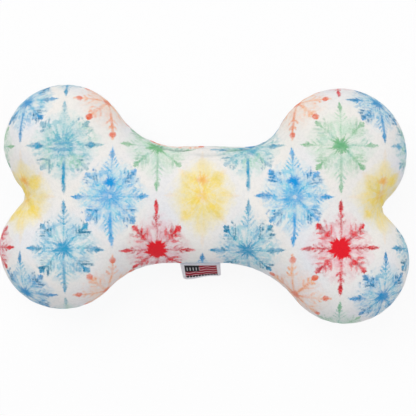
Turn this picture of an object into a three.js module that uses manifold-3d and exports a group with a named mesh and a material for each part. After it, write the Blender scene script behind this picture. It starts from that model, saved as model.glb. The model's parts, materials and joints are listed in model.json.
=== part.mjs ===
// A stuffed bone dog toy with a squeaker, in millimetres. It lies on its back panel: +X runs along
// the bone, +Y across it and +Z up through its thickness. The seam lies in one level plane.

import * as THREE from 'three';
import { mergeVertices } from 'three/addons/utils/BufferGeometryUtils.js';
import Module from 'manifold-3d';

const wasm = await Module();
wasm.setup();

// Bone outline, along the seam
const lobeSpan = 171.6; // between the left pair of lobes and the right pair
const leftLobePitch = 61.1; // between the two left lobes
const rightLobePitch = 64.7; // between the two right lobes
const leftPairRise = 5.15; // of the left pair above the shaft's centre line
const rightPairRise = -1.75; // of the right pair above the shaft's centre line
const leftPairLean = 2.1; // by which the lower left lobe lies farther out than the upper
const rightPairLean = 3.4; // by which the lower right lobe lies farther out than the upper
const upperLeftRadius = 38.8;
const lowerLeftRadius = 39.3;
const upperRightRadius = 41.5;
const lowerRightRadius = 39.7;
const shaftWidth = 73;
const upperLeftFlank = 45.3; // radius of the hollow between a lobe and the shaft
const lowerLeftFlank = 49.1;
const upperRightFlank = 23.2;
const lowerRightFlank = 57.2;

// Thickness of the stuffed toy
const shaftDepth = 55;
const lobeDepth = 62;
const restFlat = 0.5; // by which the lobes are pressed flat where they lie on a surface

// Fabric panels and their seam
const fabricThickness = 1.6; // the pile counts
const seamAllowance = 6; // turned inwards all round
const clearance = 0.3; // between neighbouring pieces
const stuffingGap = 0.7; // between the fabric and the loosely packed fibre
const threadRadius = 0.3;
const stitchInset = 2.9; // of the lockstitch from the edge
const closingLength = 34; // of the stuffing gap, sewn up by hand
const closingCentre = 5.4; // of that gap, from the middle of the shaft
const closingNearInset = 1.2; // of the ladder stitch's outer turns from the edge
const closingFarInset = 3; // of its inner turns
const closingPitch = 5.6; // from one outer turn to the next

// Woven label, a ribbon folded in two
const labelWidth = 24.8;
const labelReach = 15; // out of the seam
const labelSewnIn = 5.5; // inside the seam
const labelThickness = 0.7; // of both layers
const labelCentre = -2; // from the middle of the shaft
const labelCorner = 1.5;
const labelPivotGap = 0.75; // between the seam's edge and the line where the label bends
const labelDroop = THREE.MathUtils.degToRad(50); // below level

// Stuffing
const wadSplit = 52; // from the middle of the shaft to where the lobes' wads begin

// Squeaker, its axis upright in the middle of the shaft
const squeakerRadius = 20;
const squeakerHeight = 22;
const squeakerWall = 0.8;
const squeakerBevel = 2;
const squeakerBaseHeight = 4.5;
const squeakerCrownHeight = 5.5;
const crownRise = 1.5; // of its middle above its edge
const pleatDepth = 1.8;
const pleatCount = 3;

// Reed insert in the squeaker's base
const plugRadius = 4.5;
const plugFlangeRadius = 6.2;
const plugFlangeThickness = 1;
const plugStand = 2.4; // above the inside of the base
const plugBore = 1.3;
const reedLength = 8;
const reedWidth = 3;
const reedThickness = 0.15;
const reedCapThickness = 0.8;
const reedCapShare = 0.3; // of the reed's length that the cap covers

// Fineness of the meshes
const sideSteps = 38; // along each side of the outline, from notch to notch
const outerSteps = 7; // from the seam to the middle of a panel's outside
const innerSteps = 5; // from the seam to the middle of a panel's inside and of the stuffing
const roundSteps = 32; // round the squeaker
const threadSides = 5;
const cornerSteps = 4; // round a corner of the label
const overrun = 1; // of a cutting solid past what it cuts

// Sizes worked out from the ones above
const seamGap = clearance;
const flangeTop = seamGap / 2 + fabricThickness;
const grooveHalf = flangeTop + clearance + 2 * threadRadius + clearance;
const fillInset = fabricThickness + stuffingGap;
const rollWidth = shaftWidth / 2;
const restLevel = lobeDepth / 2 - restFlat;

// The four lobes, each a circle of the outline

const lobes = {
  upperLeft: {
    x: -(lobeSpan - leftPairLean) / 2,
    y: leftPairRise + leftLobePitch / 2,
    r: upperLeftRadius,
    flank: upperLeftFlank,
  },
  lowerLeft: {
    x: -(lobeSpan + leftPairLean) / 2,
    y: leftPairRise - leftLobePitch / 2,
    r: lowerLeftRadius,
    flank: lowerLeftFlank,
  },
  upperRight: {
    x: (lobeSpan - rightPairLean) / 2,
    y: rightPairRise + rightLobePitch / 2,
    r: upperRightRadius,
    flank: upperRightFlank,
  },
  lowerRight: {
    x: (lobeSpan + rightPairLean) / 2,
    y: rightPairRise - rightLobePitch / 2,
    r: lowerRightRadius,
    flank: lowerRightFlank,
  },
};

// Where the circles of an end's two lobes cross, on the left (side -1) or the right (side 1)
function notchPoint(upper, lower, side) {
  const dx = lower.x - upper.x;
  const dy = lower.y - upper.y;
  const pitch = Math.hypot(dx, dy);
  const along = (upper.r ** 2 - lower.r ** 2 + pitch ** 2) / (2 * pitch);
  const across = Math.sqrt(upper.r ** 2 - along ** 2) * side;
  return {
    x: upper.x + (along * dx - across * dy) / pitch,
    y: upper.y + (along * dy + across * dx) / pitch,
  };
}

const leftNotch = notchPoint(lobes.upperLeft, lobes.lowerLeft, -1);
const rightNotch = notchPoint(lobes.upperRight, lobes.lowerRight, 1);

// A stretch of the outline on a circle. Bulge 1 is a lobe, with its centre inside the bone, and
// -1 a hollow, with its centre outside.
function arcPiece(centre, r, from, to, bulge) {
  const low = Math.min(from, to);
  const sweep = Math.abs(to - from);
  const at = (share) => {
    const angle = from + (to - from) * share;
    return {
      x: centre.x + r * Math.cos(angle),
      y: centre.y + r * Math.sin(angle),
      nx: -bulge * Math.cos(angle),
      ny: -bulge * Math.sin(angle),
    };
  };
  const distance = (x, y) => {
    const angle = Math.atan2(y - centre.y, x - centre.x);
    const turn = THREE.MathUtils.euclideanModulo(angle - low, 2 * Math.PI);
    if (turn <= sweep) {
      return Math.abs(Math.hypot(x - centre.x, y - centre.y) - r);
    }
    const ends = [at(0), at(1)];
    return Math.min(...ends.map((end) => Math.hypot(x - end.x, y - end.y)));
  };
  return { length: sweep * r, at, distance };
}

// A straight stretch of the outline, with the bone below it
function straightPiece(fromX, toX, edge) {
  return {
    length: Math.abs(toX - fromX),
    at: (share) => ({ x: fromX + (toX - fromX) * share, y: edge, nx: 0, ny: -1 }),
    distance: (x, y) => {
      const nearest = THREE.MathUtils.clamp(x, Math.min(fromX, toX), Math.max(fromX, toX));
      return Math.hypot(x - nearest, y - edge);
    },
  };
}

// The centre and radius of the hollow that joins a lobe to the shaft's straight edge. The hollow
// ends on the edge before the place called stop, where the label or the closing stitch begins.
function flankCircle(lobe, edge, stop) {
  const drop = edge - lobe.y;
  const room = Math.abs(stop - lobe.x);
  const largest = (room ** 2 - lobe.r ** 2 + drop ** 2) / (2 * (lobe.r - drop));
  const r = Math.min(lobe.flank, largest);
  const reach = Math.sqrt((lobe.r + r) ** 2 - (drop + r) ** 2);
  return { x: lobe.x + Math.sign(stop - lobe.x) * reach, y: edge + r, r };
}

// One side of the outline, from the right notch to the left one. The lower side is worked out
// upside down, as if it were the upper one, and turned back point by point.
function outlineSide(rightLobe, leftLobe, kept, side) {
  const upright = (point) => ({ ...point, y: point.y * side });
  const right = upright(rightLobe);
  const left = upright(leftLobe);
  const edge = shaftWidth / 2;
  const rightFlank = flankCircle(right, edge, kept.centre + kept.length / 2 + clearance);
  const leftFlank = flankCircle(left, edge, kept.centre - kept.length / 2 - clearance);
  const angleTo = (from, to) => Math.atan2(to.y - from.y, to.x - from.x);
  const rightTurn = angleTo(right, rightFlank);
  const leftTurn = angleTo(left, leftFlank);
  const leftEnd = angleTo(left, upright(leftNotch)) + 2 * Math.PI;
  const down = -Math.PI / 2;
  const pieces = [
    arcPiece(right, right.r, angleTo(right, upright(rightNotch)), rightTurn, 1),
    arcPiece(rightFlank, rightFlank.r, rightTurn - Math.PI, down, -1),
    straightPiece(rightFlank.x, leftFlank.x, edge),
    arcPiece(leftFlank, leftFlank.r, down, leftTurn - Math.PI, -1),
    arcPiece(left, left.r, leftTurn, leftEnd, 1),
  ];
  const length = pieces.reduce((sum, piece) => sum + piece.length, 0);
  const at = (share) => {
    let rest = share * length;
    let index = 0;
    while (index < pieces.length - 1 && rest > pieces[index].length) {
      rest -= pieces[index].length;
      index += 1;
    }
    const point = pieces[index].at(Math.min(rest / pieces[index].length, 1));
    return { x: point.x, y: point.y * side, nx: point.nx, ny: point.ny * side };
  };
  const distance = (x, y) => Math.min(...pieces.map((piece) => piece.distance(x, y * side)));
  const beforeEdge = pieces[0].length + pieces[1].length;
  const shareAt = (x) => (beforeEdge + rightFlank.x - x) / length;
  return { at, distance, shareAt };
}

const closingStretch = { centre: closingCentre, length: closingLength };
const labelStretch = { centre: labelCentre, length: labelWidth };
const upperSide = outlineSide(lobes.upperRight, lobes.upperLeft, closingStretch, 1);
const lowerSide = outlineSide(lobes.lowerRight, lobes.lowerLeft, labelStretch, -1);

// The outline's points, anticlockwise from the right notch, each with its inward direction
function outlinePoints() {
  const upper = [];
  const lower = [];
  for (let step = 0; step <= sideSteps; step += 1) {
    upper.push(upperSide.at(step / sideSteps));
    lower.push(lowerSide.at(step / sideSteps));
  }
  for (const step of [0, sideSteps]) {
    const nx = upper[step].nx + lower[step].nx;
    const ny = upper[step].ny + lower[step].ny;
    const length = Math.hypot(nx, ny);
    upper[step] = { ...upper[step], nx: nx / length, ny: ny / length };
  }
  return [...upper, ...lower.slice(1, -1).reverse()];
}

const outline = outlinePoints();

// How far a point lies from the seam, seen from above
function seamDistance(x, y) {
  return Math.min(upperSide.distance(x, y), lowerSide.distance(x, y));
}

// Half the toy's thickness where it is full: thinner along the shaft, thicker in the lobes
function fullHalf(x) {
  const share = THREE.MathUtils.smoothstep(Math.abs(x), 0, lobeSpan / 2);
  return (shaftDepth + (lobeDepth - shaftDepth) * share) / 2;
}

// Height of the stuffed surface over the seam's plane, inset by a wall. Across the seam it is a
// quarter of an ellipse, one roll width across and half the thickness high.
function puffHeight(x, y, inset) {
  const share = THREE.MathUtils.clamp((seamDistance(x, y) - inset) / (rollWidth - inset), 0, 1);
  return (fullHalf(x) - inset) * Math.sqrt(1 - (1 - share) ** 2);
}

// The line along the middle of the bone that the rings shrink to
const coreStart = rightNotch.x - rollWidth;
const coreEnd = leftNotch.x + rollWidth;

function corePoint(index) {
  const step = index <= sideSteps ? index : 2 * sideSteps - index;
  const share = (1 - Math.cos((Math.PI * step) / sideSteps)) / 2;
  return { x: coreStart + (coreEnd - coreStart) * share, y: 0 };
}

// A ring parallel to the outline at a fixed height
function edgeRing(insetOf, z) {
  return outline.map((point) => {
    const inset = insetOf(point);
    return [point.x + point.nx * inset, point.y + point.ny * inset, z];
  });
}

// The rings of a stuffed surface from the core line out to the last one before the seam, on the
// front (side 1) or the back (side -1)
function puffRings(inset, steps, side) {
  const rings = [];
  for (let step = steps; step > 0; step -= 1) {
    const share = 1 - Math.cos(((step / steps) * Math.PI) / 2);
    const count = step === steps ? sideSteps + 1 : outline.length;
    const ring = outline.slice(0, count).map((point, index) => {
      const core = corePoint(index);
      const x = THREE.MathUtils.lerp(point.x + point.nx * inset, core.x, share);
      const y = THREE.MathUtils.lerp(point.y + point.ny * inset, core.y, share);
      return [x, y, side * puffHeight(x, y, inset)];
    });
    rings.push(ring);
  }
  return rings;
}

// A closed solid from rings, the first and last of them core lines. Each four-sided cell between two
// rings is split along its shorter diagonal, so that a surface and its neighbour fold alike.
function ringSolid(rings) {
  const points = rings.flat();
  const starts = [];
  let start = 0;
  for (const ring of rings) {
    starts.push(start);
    start += ring.length;
  }
  const count = outline.length;
  const vertex = (ring, index) => {
    const wrapped = index % count;
    const folded = wrapped < rings[ring].length ? wrapped : count - wrapped;
    return starts[ring] + folded;
  };
  const span = (from, to) => Math.hypot(...points[from].map((value, axis) => value - points[to][axis]));
  const faces = [];
  for (let ring = 0; ring < rings.length - 1; ring += 1) {
    for (let index = 0; index < count; index += 1) {
      const a = vertex(ring, index);
      const b = vertex(ring + 1, index);
      const c = vertex(ring + 1, index + 1);
      const d = vertex(ring, index + 1);
      if (span(a, c) < span(b, d)) {
        faces.push(a, b, c);
        faces.push(a, c, d);
      } else {
        faces.push(a, b, d);
        faces.push(b, c, d);
      }
    }
  }
  const geometry = new THREE.BufferGeometry();
  geometry.setAttribute('position', new THREE.Float32BufferAttribute(points.flat(), 3));
  geometry.setIndex(faces);
  return geometry;
}

// Joining and cutting

function toSolid(geometry) {
  const bare = geometry.clone();
  bare.deleteAttribute('normal');
  bare.deleteAttribute('uv');
  const merged = mergeVertices(bare);
  const mesh = new wasm.Mesh({
    numProp: 3,
    vertProperties: Float32Array.from(merged.attributes.position.array),
    triVerts: Uint32Array.from(merged.index.array),
  });
  return new wasm.Manifold(mesh);
}

function toGeometry(solid) {
  const mesh = solid.getMesh();
  const geometry = new THREE.BufferGeometry();
  geometry.setAttribute('position', new THREE.Float32BufferAttribute(mesh.vertProperties, 3));
  geometry.setIndex(Array.from(mesh.triVerts));
  return geometry;
}

// A box between two corners
function boxBetween(low, high) {
  const size = high.map((value, axis) => Math.abs(value - low[axis]));
  const middle = high.map((value, axis) => (value + low[axis]) / 2);
  const box = new THREE.BoxGeometry(...size);
  box.translate(...middle);
  return box;
}

// A turned piece about +Z from a profile of radius and height, anticlockwise with the axis on the left
function turned(profile) {
  const points = profile.map(([radius, height]) => new THREE.Vector2(radius, height));
  const lathe = new THREE.LatheGeometry(points, roundSteps);
  lathe.rotateX(Math.PI / 2);
  return lathe;
}

// A thread through points at one height, with its section drawn square to the way at each
function threadAlong(points) {
  const positions = [];
  const faces = [];
  const last = points.length - 1;
  points.forEach((point, index) => {
    const before = points[Math.max(index - 1, 0)];
    const after = points[Math.min(index + 1, last)];
    const along = new THREE.Vector3().subVectors(after, before).normalize();
    for (let side = 0; side < threadSides; side += 1) {
      const angle = (2 * Math.PI * side) / threadSides;
      const out = threadRadius * Math.cos(angle);
      const up = threadRadius * Math.sin(angle);
      positions.push(point.x + along.y * out, point.y - along.x * out, point.z + up);
    }
  });
  for (let index = 0; index < last; index += 1) {
    for (let side = 0; side < threadSides; side += 1) {
      const a = index * threadSides + side;
      const d = index * threadSides + ((side + 1) % threadSides);
      faces.push(a, a + threadSides, d + threadSides);
      faces.push(a, d + threadSides, d);
    }
  }
  const endRing = last * threadSides;
  for (let side = 1; side < threadSides - 1; side += 1) {
    faces.push(0, side, side + 1);
    faces.push(endRing, endRing + side + 1, endRing + side);
  }
  const geometry = new THREE.BufferGeometry();
  geometry.setAttribute('position', new THREE.Float32BufferAttribute(positions, 3));
  geometry.setIndex(faces);
  return geometry;
}

// Fabric panels

const upperEdge = shaftWidth / 2;
const lowerEdge = -shaftWidth / 2;

// The pocket in both seam allowances where the label is caught
function labelPocket() {
  const half = labelWidth / 2 + clearance;
  const height = labelThickness / 2 + clearance;
  const low = [labelCentre - half, lowerEdge - overrun, -height];
  const high = [labelCentre + half, lowerEdge + seamAllowance + overrun, height];
  return boxBetween(low, high);
}

// The pocket where the ladder stitch lies between the two seam allowances
function closingPocket() {
  const half = closingLength / 2;
  const height = threadRadius + clearance;
  const near = upperEdge - closingNearInset + height;
  const far = upperEdge - closingFarInset - height;
  return boxBetween([closingCentre - half, far, -height], [closingCentre + half, near, height]);
}

// What the surface that the toy lies on takes off the lobes
function pressedOff() {
  const low = [-lobeSpan, -lobeSpan, -lobeDepth];
  return boxBetween(low, [lobeSpan, lobeSpan, -restLevel]);
}

function panel(side) {
  const outer = puffRings(0, outerSteps, side);
  const inner = puffRings(fabricThickness, innerSteps, side);
  const atEdge = edgeRing(() => 0, (side * seamGap) / 2);
  const flangeUnder = edgeRing(() => seamAllowance, (side * seamGap) / 2);
  const flangeOver = edgeRing(() => seamAllowance, side * flangeTop);
  const atWall = edgeRing(() => fabricThickness, side * flangeTop);
  const rings = [...outer, atEdge, flangeUnder, flangeOver, atWall, ...inner.reverse()];
  if (side < 0) {
    rings.reverse();
  }
  const whole = toSolid(ringSolid(rings));
  const cuts = [labelPocket(), closingPocket(), pressedOff()];
  return toGeometry(cuts.reduce((solid, cut) => solid.subtract(toSolid(cut)), whole));
}

// Threads

// The lockstitch thread on one seam allowance, from the left end of the stuffing gap round the
// bone to its right end. It takes three points round each notch, to keep its distance there.
function seamThread(side) {
  const first = upperSide.shareAt(closingCentre - closingLength / 2);
  const last = upperSide.shareAt(closingCentre + closingLength / 2);
  const start = first * sideSteps;
  const end = last * sideSteps + outline.length;
  const route = [upperSide.at(first)];
  for (let index = Math.ceil(start + 1 / 2); index <= end - 1 / 2; index += 1) {
    if (index === sideSteps) {
      route.push(upperSide.at(1), outline[index], lowerSide.at(1));
    } else if (index === outline.length) {
      route.push(lowerSide.at(0), outline[0], upperSide.at(0));
    } else {
      route.push(outline[index % outline.length]);
    }
  }
  route.push(upperSide.at(last));
  const z = side * (flangeTop + clearance + threadRadius);
  const points = route.map((point) => {
    const x = point.x + point.nx * stitchInset;
    const y = point.y + point.ny * stitchInset;
    return new THREE.Vector3(x, y, z);
  });
  return threadAlong(points);
}

// The ladder stitch, to and fro between the two folded edges
function closingThread() {
  const room = closingLength - 2 * (clearance + threadRadius);
  const turns = 2 * Math.floor(room / closingPitch);
  const points = [];
  for (let turn = 0; turn <= turns; turn += 1) {
    const x = closingCentre + ((turn - turns / 2) * closingPitch) / 2;
    const inset = turn % 2 === 0 ? closingNearInset : closingFarInset;
    points.push(new THREE.Vector3(x, upperEdge - inset, 0));
  }
  return threadAlong(points);
}

// Woven label

function labelRoot() {
  const half = labelWidth / 2;
  const low = [labelCentre - half, lowerEdge, -labelThickness / 2];
  const high = [labelCentre + half, lowerEdge + labelSewnIn, labelThickness / 2];
  return boxBetween(low, high);
}

// The part outside the seam, drawn downwards from the line where it bends
function labelTab() {
  const half = labelWidth / 2;
  const shape = new THREE.Shape();
  shape.moveTo(half, 0);
  shape.lineTo(-half, 0);
  shape.lineTo(-half, labelCorner - labelReach);
  shape.quadraticCurveTo(-half, -labelReach, labelCorner - half, -labelReach);
  shape.lineTo(half - labelCorner, -labelReach);
  shape.quadraticCurveTo(half, -labelReach, half, labelCorner - labelReach);
  const layers = { depth: labelThickness, bevelEnabled: false, curveSegments: cornerSteps };
  const tab = new THREE.ExtrudeGeometry(shape, layers);
  tab.translate(0, 0, -labelThickness / 2);
  return tab;
}

// Stuffing

// The space inside both panels, with a groove all round for the seam allowances and their threads
function stuffingSolid() {
  const grooveInset = (point) => {
    const depth = fullHalf(point.x) - fillInset;
    const share = 1 - Math.sqrt(1 - (grooveHalf / depth) ** 2);
    return fillInset + (rollWidth - fillInset) * share;
  };
  const grooveFloor = () => seamAllowance + clearance;
  const rings = [
    ...puffRings(fillInset, innerSteps, 1),
    edgeRing(grooveInset, grooveHalf),
    edgeRing(grooveFloor, grooveHalf),
    edgeRing(grooveFloor, -grooveHalf),
    edgeRing(grooveInset, -grooveHalf),
    ...puffRings(fillInset, innerSteps, -1).reverse(),
  ];
  return toSolid(ringSolid(rings));
}

const stuffing = stuffingSolid();

// The wad of one lobe, on the left or right (sideX) and above or below (sideY)
function lobeWad(sideX, sideY) {
  const near = [sideX * wadSplit, (sideY * clearance) / 2, -lobeDepth];
  const far = [sideX * lobeSpan, sideY * lobeSpan, lobeDepth];
  return toGeometry(stuffing.intersect(toSolid(boxBetween(near, far))));
}

// The room for the squeaker and the flange of its plug between the two wads of the shaft
function squeakerPocket() {
  const top = squeakerHeight / 2 + clearance;
  const bottom = -squeakerHeight / 2 - clearance;
  const flangeBottom = bottom - plugFlangeThickness - clearance;
  return turned([
    [0, flangeBottom],
    [plugFlangeRadius + clearance, flangeBottom],
    [plugFlangeRadius + clearance, bottom],
    [squeakerRadius + clearance, bottom],
    [squeakerRadius + clearance, top],
    [0, top],
  ]);
}

// The wad in front of the squeaker (side 1) or behind it (side -1)
function shaftWad(side) {
  const reach = wadSplit - clearance;
  const near = [-reach, -shaftWidth, (side * clearance) / 2];
  const far = [reach, shaftWidth, side * lobeDepth];
  const wad = stuffing.intersect(toSolid(boxBetween(near, far)));
  return toGeometry(wad.subtract(toSolid(squeakerPocket())));
}

// Squeaker, each piece measured up from the bottom of its base

const squeakerInside = squeakerRadius - squeakerWall;
const plugHole = plugRadius + clearance;

function squeakerBase() {
  return turned([
    [plugHole, 0],
    [squeakerRadius - squeakerBevel, 0],
    [squeakerRadius, squeakerBevel],
    [squeakerRadius, squeakerBaseHeight],
    [squeakerInside, squeakerBaseHeight],
    [squeakerInside, squeakerBevel],
    [squeakerRadius - squeakerBevel, squeakerWall],
    [plugHole, squeakerWall],
    [plugHole, 0],
  ]);
}

function squeakerCrown() {
  const edge = squeakerHeight - crownRise;
  const rim = squeakerHeight - squeakerCrownHeight;
  return turned([
    [0, squeakerHeight - squeakerWall],
    [squeakerRadius - squeakerBevel, edge - squeakerWall],
    [squeakerInside, edge - squeakerBevel],
    [squeakerInside, rim],
    [squeakerRadius, rim],
    [squeakerRadius, edge - squeakerBevel],
    [squeakerRadius - squeakerBevel, edge],
    [0, squeakerHeight],
  ]);
}

const pleatsBottom = squeakerBaseHeight + clearance;
const pleatsTop = squeakerHeight - squeakerCrownHeight - clearance;

function squeakerPleats() {
  const outer = [];
  const inner = [];
  for (let fold = 0; fold <= 2 * pleatCount; fold += 1) {
    const height = THREE.MathUtils.lerp(pleatsBottom, pleatsTop, fold / (2 * pleatCount));
    const radius = squeakerRadius - (fold % 2) * pleatDepth;
    outer.push([radius, height]);
    inner.push([radius - squeakerWall, height]);
  }
  return turned([...outer, ...inner.reverse(), outer[0]]);
}

// Reed insert

const plugTop = squeakerWall + plugStand;
const reedFloor = plugTop - reedThickness - 2 * clearance;

function reedPlug() {
  const flangeTopLevel = -clearance;
  const bottom = flangeTopLevel - plugFlangeThickness;
  const body = turned([
    [plugBore, bottom],
    [plugFlangeRadius, bottom],
    [plugFlangeRadius, flangeTopLevel],
    [plugRadius, flangeTopLevel],
    [plugRadius, plugTop],
    [plugBore, plugTop],
    [plugBore, bottom],
  ]);
  const half = reedWidth / 2 + clearance;
  const low = [-plugRadius - overrun, -half, reedFloor];
  const high = [plugRadius + overrun, half, plugTop + overrun];
  return toGeometry(toSolid(body).subtract(toSolid(boxBetween(low, high))));
}

function reedBlade() {
  const low = [-reedLength / 2, -reedWidth / 2, reedFloor + clearance];
  const high = [reedLength / 2, reedWidth / 2, reedFloor + clearance + reedThickness];
  return boxBetween(low, high);
}

// The half cap that holds down the reed's fixed end
function reedCap() {
  const bottom = plugTop + clearance;
  const disc = turned([
    [0, bottom],
    [plugRadius, bottom],
    [plugRadius, bottom + reedCapThickness],
    [0, bottom + reedCapThickness],
  ]);
  const edge = -reedLength / 2 + reedLength * reedCapShare;
  const low = [-plugRadius - overrun, -plugRadius - overrun, bottom - overrun];
  const high = [edge, plugRadius + overrun, bottom + reedCapThickness + overrun];
  return toGeometry(toSolid(disc).intersect(toSolid(boxBetween(low, high))));
}

// Finishes

function finish(color, roughness, metalness = 0) {
  return new THREE.MeshStandardMaterial({ color, roughness, metalness });
}

const plush = finish(0xefedea, 0.95);
const thread = finish(0xf4f2ee, 0.7);
const ribbon = finish(0xcdc7d2, 0.8);
const fibre = finish(0xf8f8f6, 1);
const blownPlastic = finish(0xe8e6df, 0.45);
const plugPlastic = finish(0x2f3238, 0.5);
const brass = finish(0xc9a35a, 0.35, 1);

function addPiece(group, name, geometry, material) {
  const mesh = new THREE.Mesh(geometry, material);
  mesh.name = name;
  group.add(mesh);
  return mesh;
}

// The whole toy

const toy = new THREE.Group();
const circles = Object.values(lobes);
const lowX = Math.min(...circles.map((lobe) => lobe.x - lobe.r));
const highX = Math.max(...circles.map((lobe) => lobe.x + lobe.r));
const lowY = Math.min(...circles.map((lobe) => lobe.y - lobe.r));
const highY = Math.max(...circles.map((lobe) => lobe.y + lobe.r));
toy.position.set(-(lowX + highX) / 2, -(lowY + highY) / 2, restLevel);

addPiece(toy, 'front_panel', panel(1), plush);
addPiece(toy, 'back_panel', panel(-1), plush);
addPiece(toy, 'needle_thread', seamThread(1), thread);
addPiece(toy, 'bobbin_thread', seamThread(-1), thread);
addPiece(toy, 'closing_thread', closingThread(), thread);
addPiece(toy, 'label_root', labelRoot(), ribbon);
const tab = addPiece(toy, 'label_tab', labelTab(), ribbon);
tab.position.set(labelCentre, lowerEdge - labelPivotGap, 0);
tab.rotation.x = labelDroop;

addPiece(toy, 'fill_upper_left', lobeWad(-1, 1), fibre);
addPiece(toy, 'fill_lower_left', lobeWad(-1, -1), fibre);
addPiece(toy, 'fill_upper_right', lobeWad(1, 1), fibre);
addPiece(toy, 'fill_lower_right', lobeWad(1, -1), fibre);
addPiece(toy, 'fill_shaft_front', shaftWad(1), fibre);
addPiece(toy, 'fill_shaft_back', shaftWad(-1), fibre);

const squeaker = new THREE.Group();
squeaker.position.z = -squeakerHeight / 2;
toy.add(squeaker);
addPiece(squeaker, 'squeaker_base', squeakerBase(), blownPlastic);
addPiece(squeaker, 'squeaker_pleats', squeakerPleats(), blownPlastic);
addPiece(squeaker, 'squeaker_crown', squeakerCrown(), blownPlastic);
addPiece(squeaker, 'reed_plug', reedPlug(), plugPlastic);
addPiece(squeaker, 'reed_cap', reedCap(), plugPlastic);
addPiece(squeaker, 'reed', reedBlade(), brass);

export default toy;
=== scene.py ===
"""A stuffed bone dog toy of printed plush, with its woven label, stuffing and squeaker, in metres.

The toy lies on its back panel: +X runs along the bone, +Y across it and +Z up through its thickness.
Shapes are worked out about the middle of the shaft in the seam's plane, and then moved into the frame.
"""

import json
import math
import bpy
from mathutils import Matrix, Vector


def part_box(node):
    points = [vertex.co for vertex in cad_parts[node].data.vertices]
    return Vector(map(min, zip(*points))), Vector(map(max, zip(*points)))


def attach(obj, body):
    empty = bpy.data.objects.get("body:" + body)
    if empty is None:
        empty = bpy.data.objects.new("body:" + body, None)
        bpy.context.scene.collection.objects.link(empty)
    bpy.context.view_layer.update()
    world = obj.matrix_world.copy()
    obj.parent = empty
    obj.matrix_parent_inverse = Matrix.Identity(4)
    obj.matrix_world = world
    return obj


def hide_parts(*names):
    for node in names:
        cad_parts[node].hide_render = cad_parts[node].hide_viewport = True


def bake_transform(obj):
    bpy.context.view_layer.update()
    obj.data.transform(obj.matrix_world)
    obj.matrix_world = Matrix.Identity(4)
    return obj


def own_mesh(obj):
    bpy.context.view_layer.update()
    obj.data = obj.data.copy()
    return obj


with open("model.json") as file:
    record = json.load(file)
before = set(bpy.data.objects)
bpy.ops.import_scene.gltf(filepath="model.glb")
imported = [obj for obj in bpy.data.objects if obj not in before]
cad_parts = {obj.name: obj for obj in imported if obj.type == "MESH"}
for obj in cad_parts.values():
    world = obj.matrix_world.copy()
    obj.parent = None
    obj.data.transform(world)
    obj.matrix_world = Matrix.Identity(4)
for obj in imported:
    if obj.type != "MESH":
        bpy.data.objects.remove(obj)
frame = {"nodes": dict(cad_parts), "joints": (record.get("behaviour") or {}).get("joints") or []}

from types import SimpleNamespace

import bmesh
import bpy
import numpy as np

bl_info = {
    "name": "Plush Bone Toy",
    "version": (1, 0, 0),
    "blender": (4, 5, 0),
    "location": "View3D > Sidebar > Bone Toy",
    "description": "Makes a printed plush bone with its label, stuffing and squeaker",
    "category": "Object",
}

MM = 0.001
# A length and an area too small to see, below which a direction isn't worked out
HAIR = MM * MM
NO_AREA = 1e-14
# The turn between two faces from which their edge is sharp
SHARP = math.radians(50)
PANEL_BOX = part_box("front_panel")
PLEATS_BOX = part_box("squeaker_pleats")


# Settings


def paint(code):
    """A colour written as red, green and blue in hexadecimal, as linear light."""
    shares = [int(code[start:start + 2], 16) / 255 for start in (0, 2, 4)]
    return tuple(s / 12.92 if s <= 0.04045 else ((s + 0.055) / 1.055) ** 2.4 for s in shares)


def size(name, description, default):
    return bpy.props.FloatProperty(
        name=name, description=description, default=default, precision=5, subtype="DISTANCE", unit="LENGTH"
    )


def turn(name, description, degrees):
    return bpy.props.FloatProperty(
        name=name, description=description, default=math.radians(degrees), subtype="ANGLE", unit="ROTATION"
    )


def share(name, description, default):
    return bpy.props.FloatProperty(
        name=name, description=description, default=default, min=0, max=1, subtype="FACTOR"
    )


def count(name, description, default):
    return bpy.props.IntProperty(name=name, description=description, default=default, min=1)


def color(name, description, code):
    return bpy.props.FloatVectorProperty(
        name=name, description=description, default=paint(code), size=3, min=0, max=1, subtype="COLOR"
    )


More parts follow.
